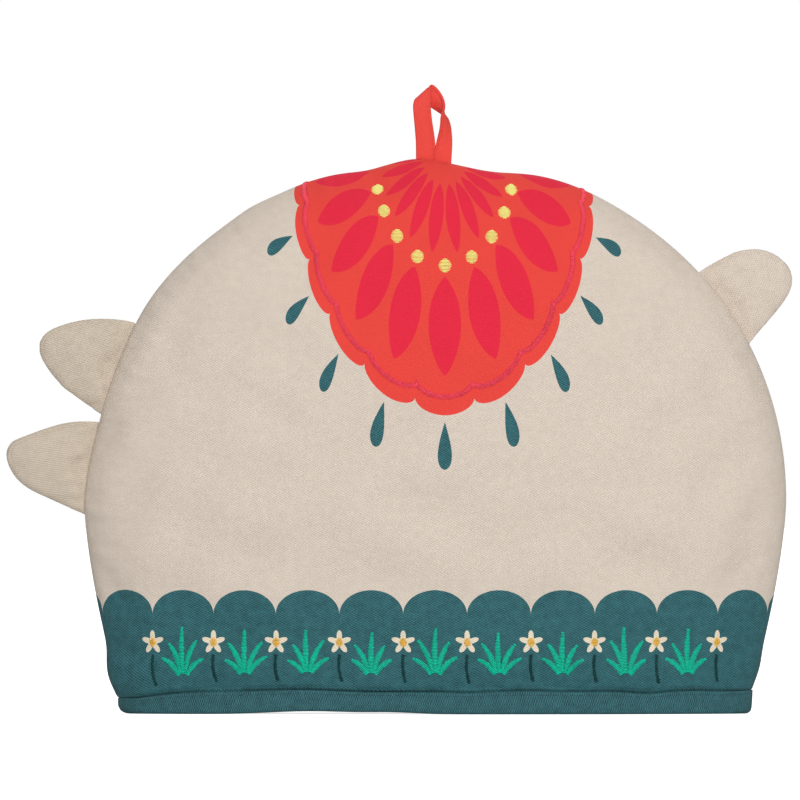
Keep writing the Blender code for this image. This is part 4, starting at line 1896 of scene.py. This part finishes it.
def stitch_tree() -> NodeTree:
    """The nodes that lay threads on a cloth, across or along paths in its cloth coordinates.

    Returns:
        The tree.
    """
    tree = bpy.data.node_groups.new("stitches", "GeometryNodeTree")
    sockets = {
        "Geometry": ("Paths",),
        "Object": ("Cloth", "Thread"),
        "Material": ("Finish",),
        "Float": ("Pitch", "Thread Half Width", "Rise", "Lift", "Raggedness"),
        "Bool": ("Across",),
        "Int": ("Seed",),
    }
    for kind, labels in sockets.items():
        for label in labels:
            tree.interface.new_socket(name=label, in_out="INPUT", socket_type=f"NodeSocket{kind}")
    tree.interface.new_socket(name="Stitches", in_out="OUTPUT", socket_type="NodeSocketGeometry")
    given = tree.nodes.new("NodeGroupInput")
    result = tree.nodes.new("NodeGroupOutput")

    def node(kind: str, inputs: dict[str | int, object], **settings: object) -> Node:
        """Adds a node.

        Args:
            kind: which node.
            inputs: what feeds its sockets, another socket or a plain value.
            settings: its own properties, which are set first.

        Returns:
            The node.
        """
        made = tree.nodes.new(kind)
        for label, value in settings.items():
            setattr(made, label, value)
        for slot, source in inputs.items():
            if isinstance(source, NodeSocket):
                tree.links.new(source, made.inputs[slot])
            else:
                made.inputs[slot].default_value = source
        return made

    def vector(operation: str, *sources: object) -> NodeSocket:
        """Arithmetic on vectors; the second source of SCALE is a number."""
        slots = (0, 3) if operation == "SCALE" else (0, 1)
        made = node("ShaderNodeVectorMath", dict(zip(slots, sources)), operation=operation)
        return made.outputs["Value" if operation == "LENGTH" else "Vector"]

    def number(operation: str, *sources: object) -> NodeSocket:
        """Arithmetic on numbers."""
        return node("ShaderNodeMath", dict(enumerate(sources)), operation=operation).outputs[0]

    def chance(least: float, most: float, which: int) -> NodeSocket:
        """A random number for each thread; which tells one draw from another."""
        seed = number("ADD", given.outputs["Seed"], float(which))
        drawn = node("FunctionNodeRandomValue", {2: least, 3: most, "Seed": seed}, data_type="FLOAT")
        return drawn.outputs[1]

    def attribute(name: str, kind: str) -> NodeSocket:
        """A named attribute."""
        return node("GeometryNodeInputNamedAttribute", {"Name": name}, data_type=kind).outputs["Attribute"]

    def on_cloth(
        value: NodeSocket, place: NodeSocket
    ) -> tuple[NodeSocket, NodeSocket]:
        """The cloth's value at cloth coordinates, and whether the cloth reaches there."""
        inputs = {"Mesh": cloth, "Value": value, "Source UV Map": flat_map, "Sample UV": place}
        made = node("GeometryNodeSampleUVSurface", inputs, data_type="FLOAT_VECTOR")
        return made.outputs["Value"], made.outputs["Is Valid"]

    cloth = node("GeometryNodeObjectInfo", {"Object": given.outputs["Cloth"]}).outputs["Geometry"]
    thread = node("GeometryNodeObjectInfo", {"Object": given.outputs["Thread"], "As Instance": True})
    flat_map = attribute(CLOTH_MAP, "FLOAT_VECTOR")
    position = node("GeometryNodeInputPosition", {}).outputs[0]
    normal = node("GeometryNodeInputNormal", {}).outputs[0]

    lines = node("GeometryNodeMeshToCurve", {"Mesh": given.outputs["Paths"]})
    inputs = {"Curve": lines.outputs["Curve"], "Length": given.outputs["Pitch"]}
    spaced = node("GeometryNodeCurveToPoints", inputs, mode="LENGTH")
    inputs = {"Name": "laid", "Geometry": spaced.outputs["Points"], "Value": position}
    kept = node("GeometryNodeStoreNamedAttribute", inputs, data_type="FLOAT_VECTOR", domain="POINT")
    place = attribute("laid", "FLOAT_VECTOR")

    along = spaced.outputs["Tangent"]
    across = vector("CROSS_PRODUCT", (0.0, 0.0, 1.0), along)
    inputs = {"Switch": given.outputs["Across"], "False": along, "True": across}
    way = node("GeometryNodeSwitch", inputs, input_type="VECTOR").outputs[0]
    half = attribute(HALF_WIDTH, "FLOAT")
    ends = []
    for which, sense in ((1, "SUBTRACT"), (2, "ADD")):
        uneven = number("MULTIPLY", chance(-1.0, 1.0, which), given.outputs["Raggedness"])
        end = vector(sense, place, vector("SCALE", way, number("ADD", half, uneven)))
        ends.append(on_cloth(position, end))
    (first_place, first_found), (second_place, second_found) = ends
    found = node("FunctionNodeBooleanMath", {0: first_found, 1: second_found}, operation="AND")
    reach = vector("SUBTRACT", second_place, first_place)
    ends_middle = vector("SCALE", vector("ADD", first_place, second_place), 0.5)
    middle_place, _ = on_cloth(position, place)
    settled = vector("SCALE", vector("ADD", ends_middle, middle_place), 0.5)
    out, _ = on_cloth(normal, place)
    lifted = vector("ADD", settled, vector("SCALE", out, given.outputs["Lift"]))

    moved = node("GeometryNodeSetPosition", {"Geometry": kept.outputs["Geometry"], "Position": lifted})
    inputs = {"Primary Axis": out, "Secondary Axis": reach}
    turned = node("FunctionNodeAxesToRotation", inputs, primary_axis="Z", secondary_axis="X")
    inputs = {
        "X": number("MULTIPLY", vector("LENGTH", reach), 0.5),
        "Y": number("MULTIPLY", given.outputs["Thread Half Width"], chance(0.9, 1.15, 3)),
        "Z": number("MULTIPLY", given.outputs["Rise"], chance(0.8, 1.15, 4)),
    }
    size = node("ShaderNodeCombineXYZ", inputs)
    inputs = {
        "Points": moved.outputs["Geometry"],
        "Selection": found.outputs[0],
        "Instance": thread.outputs["Geometry"],
        "Rotation": turned.outputs[0],
        "Scale": size.outputs[0],
    }
    placed = node("GeometryNodeInstanceOnPoints", inputs)
    real = node("GeometryNodeRealizeInstances", {"Geometry": placed.outputs["Instances"]})
    inputs = {"Geometry": real.outputs["Geometry"], "Material": given.outputs["Finish"]}
    finish = node("GeometryNodeSetMaterial", inputs)
    tree.links.new(finish.outputs["Geometry"], result.inputs["Stitches"])
    return tree


@dataclass
class StitchWork:
    """Threads of one colour, laid on one cloth.

    Args:
        name: the piece's name.
        colour: of the thread.
        contrast: how much lighter and darker its threads are here and there.
        lay: which way the threads lie.
        pitch: from one thread to the next.
        half_thick: half a thread's width.
        rise: how high it stands.
        slot: the record's finish it belongs to; not used.
        margin: how much longer than its path's width it is at each end; the painted shadow outlines stick
            out round their stitches by it.
        lift: how far from the cloth's surface its underside lies.
        raggedness: how uneven its ends are.
        seed: which unevenness.
    """

    name: str
    colour: Colour
    contrast: float = 0.15
    lay: Lay = Lay.ACROSS
    pitch: float = 0.00074
    half_thick: float = 0.00035
    rise: float = 0.00078
    slot: str = "greige_twill"
    margin: float = 0.0
    lift: float = -0.00008
    raggedness: float = 0.00028
    seed: int = 1

    def build(
        self,
        paths: list[StitchPath],
        cloth: Object,
        thread: Object,
        tree: NodeTree,
    ) -> Object:
        """Lays the threads.

        Args:
            paths: where, in the cloth's coordinates.
            cloth: what they are laid on.
            thread: the unit thread.
            tree: the nodes that lay it.

        Returns:
            The piece, a plain mesh.
        """
        mesh = bpy.data.meshes.new(self.name)
        places = [(u, v, 0.0) for path in paths for u, v in path.places]
        edges = []
        first = 0
        for path in paths:
            edges.extend((first + k, first + k + 1) for k in range(len(path.places) - 1))
            first += len(path.places)
        mesh.from_pydata(places, edges, [])
        widths = mesh.attributes.new(HALF_WIDTH, "FLOAT", "POINT")
        halves = [half + self.margin for path in paths for half in path.half_widths]
        widths.data.foreach_set("value", halves)
        piece = bpy.data.objects.new(self.name, mesh)
        bpy.context.scene.collection.objects.link(piece)
        modifier = piece.modifiers.new("stitches", "NODES")
        modifier.node_group = tree
        values = {
            "Cloth": cloth,
            "Thread": thread,
            "Finish": ThreadFinish(self.name, self.colour, self.contrast).material(),
            "Pitch": self.pitch,
            "Thread Half Width": self.half_thick,
            "Rise": self.rise,
            "Lift": self.lift,
            "Raggedness": self.raggedness,
            "Across": self.lay.value,
            "Seed": self.seed,
        }
        for item in tree.interface.items_tree:
            if item.item_type == "SOCKET" and item.in_out == "INPUT" and item.name in values:
                modifier[item.identifier] = values[item.name]
        settled_mesh(piece)
        piece.data.shade_smooth()
        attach(piece, BODY)
        log.info("%s: %d faces", self.name, len(piece.data.polygons))
        return piece


def line_between(start: tuple[float, float], end: tuple[float, float], bow: float, count: int) -> list:
    """Points from one place to another, bowed sideways by a share of the way.

    Args:
        start: the first place.
        end: the last.
        bow: how far the middle lies off the straight line, as a share of its length.
        count: of points.

    Returns:
        The points.
    """
    along = np.array(end) - np.array(start)
    side = np.array((-along[1], along[0])) * bow
    share = np.linspace(0.0, 1.0, count)[:, None]
    points = np.array(start) + along * share + side * 4 * share * (1 - share)
    return [(float(u), float(v)) for u, v in points]


@dataclass(frozen=True)
class Leaf:
    """One stitched leaf of a sprig.

    Args:
        turn: degrees from upright.
        length: from the sprig's foot to its tip.
        bow: how far it bends sideways, as a share of its length.
    """

    turn: float
    length: float
    bow: float


@dataclass(frozen=True)
class Embroidery:
    """The stitched design on the front panel.

    Args:
        hem: the printed border that it follows.
        fan: the printed crown that it follows.
        leaves: of each sprig.
        sprig_foot: the height from which a sprig's leaves spread.
        sprig_gap: from there to where each leaf starts.
        border_inset: from the fan's edge to the middle of the raised line.
        border_depth: how deep its scallops are, as a share of the edge's.
        border_start: the even angle at which it starts, in radians.
        dot_share: how far out the spots lie, as a share of the way to the edge.
        reach_u: how far from the middle the repeats go.
    """

    hem: HemBorder
    fan: CrownFan
    leaves: tuple[Leaf, ...] = (
        Leaf(-46.0, 0.0145, -0.10),
        Leaf(-24.0, 0.0205, -0.07),
        Leaf(0.0, 0.0250, 0.02),
        Leaf(23.0, 0.0200, 0.07),
        Leaf(45.0, 0.0150, 0.10),
    )
    sprig_foot: float = 0.0185
    sprig_gap: float = 0.0035
    sprig_seed: int = 7
    leaf_half: float = 0.0016
    leaf_points: int = 14
    stem_half: float = 0.0009
    flower_centre: float = 0.0021
    border_inset: float = 0.0075
    border_half: float = 0.0015
    border_depth: float = 0.8
    border_start: float = 0.10
    dot_radius: float = 0.0036
    dot_share: float = 0.46
    reach_u: float = 0.150

    def lobes(self, shift: float) -> list[float]:
        """Where the hem's repeats stand, across; shift is a share of one repeat."""
        count = int(self.reach_u / self.hem.lobe_pitch)
        places = [(step + shift) * self.hem.lobe_pitch for step in range(-count - 1, count + 1)]
        return [place for place in places if abs(place) < self.reach_u]

    def sprigs(self) -> list[StitchPath]:
        """The green leaves under each lobe."""
        paths = []
        chance = np.random.default_rng(self.sprig_seed)
        share = np.linspace(0.0, 1.0, self.leaf_points)
        half = self.leaf_half * (0.35 + 0.65 * np.sin(math.pi * (0.12 + 0.80 * share)))
        for middle in self.lobes(0.0):
            for leaf in self.leaves:
                turn = math.radians(leaf.turn + chance.uniform(-2.5, 2.5))
                length = leaf.length * chance.uniform(0.92, 1.08)
                ends = [
                    (middle + math.sin(turn) * out, self.sprig_foot + math.cos(turn) * out)
                    for out in (self.sprig_gap, length)
                ]
                points = line_between(*ends, leaf.bow, self.leaf_points)
                paths.append(StitchPath(points, half.tolist()))
        return paths

    def stems(self) -> list[StitchPath]:
        """The dark green stem under each flower."""
        paths = []
        for middle in self.lobes(0.5):
            top = (middle, self.hem.flower_height - self.hem.flower_radius - 0.0004)
            foot = (middle + 0.0012, self.sprig_foot - 0.0015)
            points = line_between(foot, top, 0.06, 12)
            paths.append(StitchPath(points, [self.stem_half] * len(points)))
        return paths

    def disc(self, middle: tuple[float, float], radius: float) -> StitchPath:
        """A round spot of stitches."""
        rise = np.linspace(-0.93, 0.93, 13)
        half = np.sqrt(1.0 - rise**2) * radius
        places = [(middle[0], middle[1] + float(step) * radius) for step in rise]
        return StitchPath(places, half.tolist())

    def flower_centres(self) -> list[StitchPath]:
        """The mustard middle of each flower."""
        middles = [(across, self.hem.flower_height) for across in self.lobes(0.5)]
        return [self.disc(middle, self.flower_centre) for middle in middles]

    def dots(self) -> list[StitchPath]:
        """The yellow spots between the fan's two rings of petals, but for the two at the crown seam."""
        steps = [(step + 0.5) * math.pi / self.fan.scallops for step in range(1, self.fan.scallops - 1)]
        return [self.disc(self.fan.place(even, self.dot_share), self.dot_radius) for even in steps]

    def border(self) -> list[StitchPath]:
        """The raised crimson line inside the fan's scalloped edge."""
        evens = np.linspace(self.border_start, math.pi - self.border_start, 420)
        share = 1.0 - self.border_inset / self.fan.mean_radius
        places = []
        for even in evens:
            edge = self.fan.edge_share(float(even))
            places.append(self.fan.place(float(even), share - (1.0 - edge) * self.border_depth))
        return [StitchPath(places, [self.border_half] * len(places))]


# ---- the studio


@dataclass
class Studio:
    """A plain pale floor, soft light from the front and above, and the camera.

    Args:
        picture_width: how wide the view is at the cosy.
        picture_middle: the height of the view's middle.
        focal_length: of the camera, in millimetres.
    """

    picture_width: float = 0.416
    picture_middle: float = 0.1630
    focal_length: float = 1200.0
    sensor: float = 36.0

    def floor(self) -> None:
        """The floor."""
        bpy.ops.mesh.primitive_plane_add(size=40.0, location=(0.0, 0.0, 0.0))
        floor = bpy.context.object
        floor.name = "floor"
        finish = PlainFinish(name="floor", colour=(0.80, 0.80, 0.80), glow=0.75)
        floor.data.materials.append(finish.material())

    def world(self) -> None:
        """An even pale surround, white to the camera."""
        world = bpy.data.worlds.new("surround")
        bpy.context.scene.world = world
        world.use_nodes = True
        tree = world.node_tree
        background = tree.nodes["Background"]
        background.inputs["Color"].default_value = (1.0, 1.0, 1.0, 1.0)
        path = tree.nodes.new("ShaderNodeLightPath")
        seen = Field(tree, path.outputs["Is Camera Ray"])
        tree.links.new((seen * 0.90 + 0.10).socket, background.inputs["Strength"])

    def lamp(self, name: str, azimuth: float, elevation: float, spread: float, strength: float) -> None:
        """A wide, soft and even light.

        Args:
            name: its name.
            azimuth: degrees round from straight in front, to the right.
            elevation: degrees above the floor.
            spread: degrees of the sky that it fills.
            strength: of its light.
        """
        data = bpy.data.lights.new(name, "SUN")
        data.angle = math.radians(spread)
        data.energy = strength
        lamp = bpy.data.objects.new(name, data)
        turn, rise = math.radians(azimuth), math.radians(elevation)
        aim = -Vector((math.sin(turn) * math.cos(rise), -math.cos(turn) * math.cos(rise), math.sin(rise)))
        lamp.rotation_euler = aim.to_track_quat("-Z", "Y").to_euler()
        bpy.context.scene.collection.objects.link(lamp)

    def camera(self) -> None:
        """The camera, level, straight in front."""
        data = bpy.data.cameras.new("camera")
        data.lens = self.focal_length
        data.sensor_width = self.sensor
        data.clip_end = 100.0
        camera = bpy.data.objects.new("camera", data)
        distance = self.picture_width * self.focal_length / self.sensor
        camera.location = (0.0001, -distance, self.picture_middle)
        camera.rotation_euler = (math.radians(90.0), 0.0, 0.0)
        bpy.context.scene.collection.objects.link(camera)
        bpy.context.scene.camera = camera

    def build(self) -> None:
        """Sets the studio up."""
        self.floor()
        self.world()
        self.lamp("front light", azimuth=8.0, elevation=20.0, spread=42.0, strength=2.02)
        self.lamp("overhead light", azimuth=0.0, elevation=75.0, spread=90.0, strength=0.8)
        self.lamp("back light", azimuth=180.0, elevation=35.0, spread=60.0, strength=1.1)
        self.camera()
        bpy.context.scene.view_settings.view_transform = "Standard"


# ---- the whole cosy


def main() -> None:
    """Builds the cosy, dresses it and sets up the studio."""
    logging.basicConfig(level=logging.INFO, format="%(message)s")
    low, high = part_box("hem_binding")
    form = CosyForm(middle_x=(low.x + high.x) / 2)
    pockets = seam_pockets(form)
    weaves = Weaves()
    printed, plain, shaded, lining = (
        finish.material(weaves) for finish in (PRINTED_TWILL, GREIGE_TWILL, PAINTED_SHADE_GREIGE_TWILL, LINING_TWILL)
    )

    panels = {}
    for side, seed in ((Side.FRONT, 11), (Side.BACK, 23)):
        panel = PaddedPanel(
            side=side,
            form=form,
            pockets=pockets,
            settling=Settling(),
            lumps=Lumps(height=0.0007, shortest=0.030, longest=0.080, seed=seed),
            puckers=Lumps(height=0.00030, shortest=0.006, longest=0.018, seed=seed + 1),
            hem_gathers=Lumps(height=0.00030, shortest=0.008, longest=0.024, seed=seed + 2),
        )
        panels[side] = panel.build([printed, lining])

    for number, tab in enumerate(Tab):
        piece = PaddedTab(
            tab=tab,
            middle_x=form.middle_x,
            settling=Settling(pressure=0.2, spare=0.006, cap=0.0012),
            lumps=Lumps(height=0.00030, shortest=0.012, longest=0.030, seed=40 + number),
            gathers=Lumps(height=0.00040, shortest=0.005, longest=0.012, seed=50 + number),
        )
        # The leaf tabs take the darker greige, which is painted shade; the round tab takes the plain
        # greige.
        piece.build(plain if tab is Tab.ROUND_TAB else shaded)

    binding = HemBinding(
        form=form,
        lumps=Lumps(height=0.00018, shortest=0.015, longest=0.060, seed=61),
    )
    band = binding.build(BAND_TWILL.material(weaves))
    loop = HangingLoop(middle_x=form.middle_x)
    tape = loop.build(TAPE_TWILL.material(weaves))

    tree = stitch_tree()
    thread = Thread().build()
    design = Embroidery(hem=HEM_BORDER, fan=CROWN_FAN)
    front = panels[Side.FRONT]
    # Painted shadow: wide, flat, dark threads laid under the leaves and the border line, so that a dark
    # outline shows round them.
    shadow_outline = {"half_thick": 0.0004, "rise": 0.0001, "margin": 0.00045}
    border = {"pitch": 0.00060, "half_thick": 0.00032}
    topstitch = {"contrast": 0.45, "lay": Lay.ALONG, "raggedness": 0.0001}
    hem = {"pitch": 0.0043, "half_thick": 0.00022, "rise": 0.00018}
    edge = {"pitch": 0.0026, "half_thick": 0.00028, "rise": 0.00016}
    works = (
        # Painted shadow round the leaves.
        (StitchWork("leaf_underlay", STEM_GREEN_AND_LEAF_SHADOW, **shadow_outline, seed=2), design.sprigs(), front),
        (StitchWork("leaf_stitches", STITCH_GREEN, contrast=0.45, seed=3), design.sprigs(), front),
        (StitchWork("stem_stitches", STEM_GREEN_AND_LEAF_SHADOW, seed=4), design.stems(), front),
        (StitchWork("flower_stitches", STITCH_MUSTARD, seed=5), design.flower_centres(), front),
        (StitchWork("dot_stitches", STITCH_YELLOW, seed=6, rise=0.0007), design.dots(), front),
        # Painted shadow round the crimson border line.
        (
            StitchWork("border_underlay", BORDER_SHADOW_CRIMSON, **shadow_outline, slot="red_tape", seed=10),
            design.border(),
            front,
        ),
        (
            StitchWork("border_stitches", STITCH_CRIMSON, **border, slot="red_tape", seed=7),
            design.border(),
            front,
        ),
        (
            StitchWork("hem_stitches", HEM_THREAD, **topstitch, **hem, slot="teal_twill", seed=8),
            binding.stitch_lines(),
            band,
        ),
        (
            StitchWork("tape_stitches", TAPE_THREAD, **topstitch, **edge, slot="red_tape", seed=9),
            loop.stitch_lines(),
            tape,
        ),
    )
    for work, paths, cloth in works:
        work.build(paths, cloth, thread, tree)
    bpy.data.objects.remove(thread)

    Studio().build()


if __name__ == "__main__":
    main()
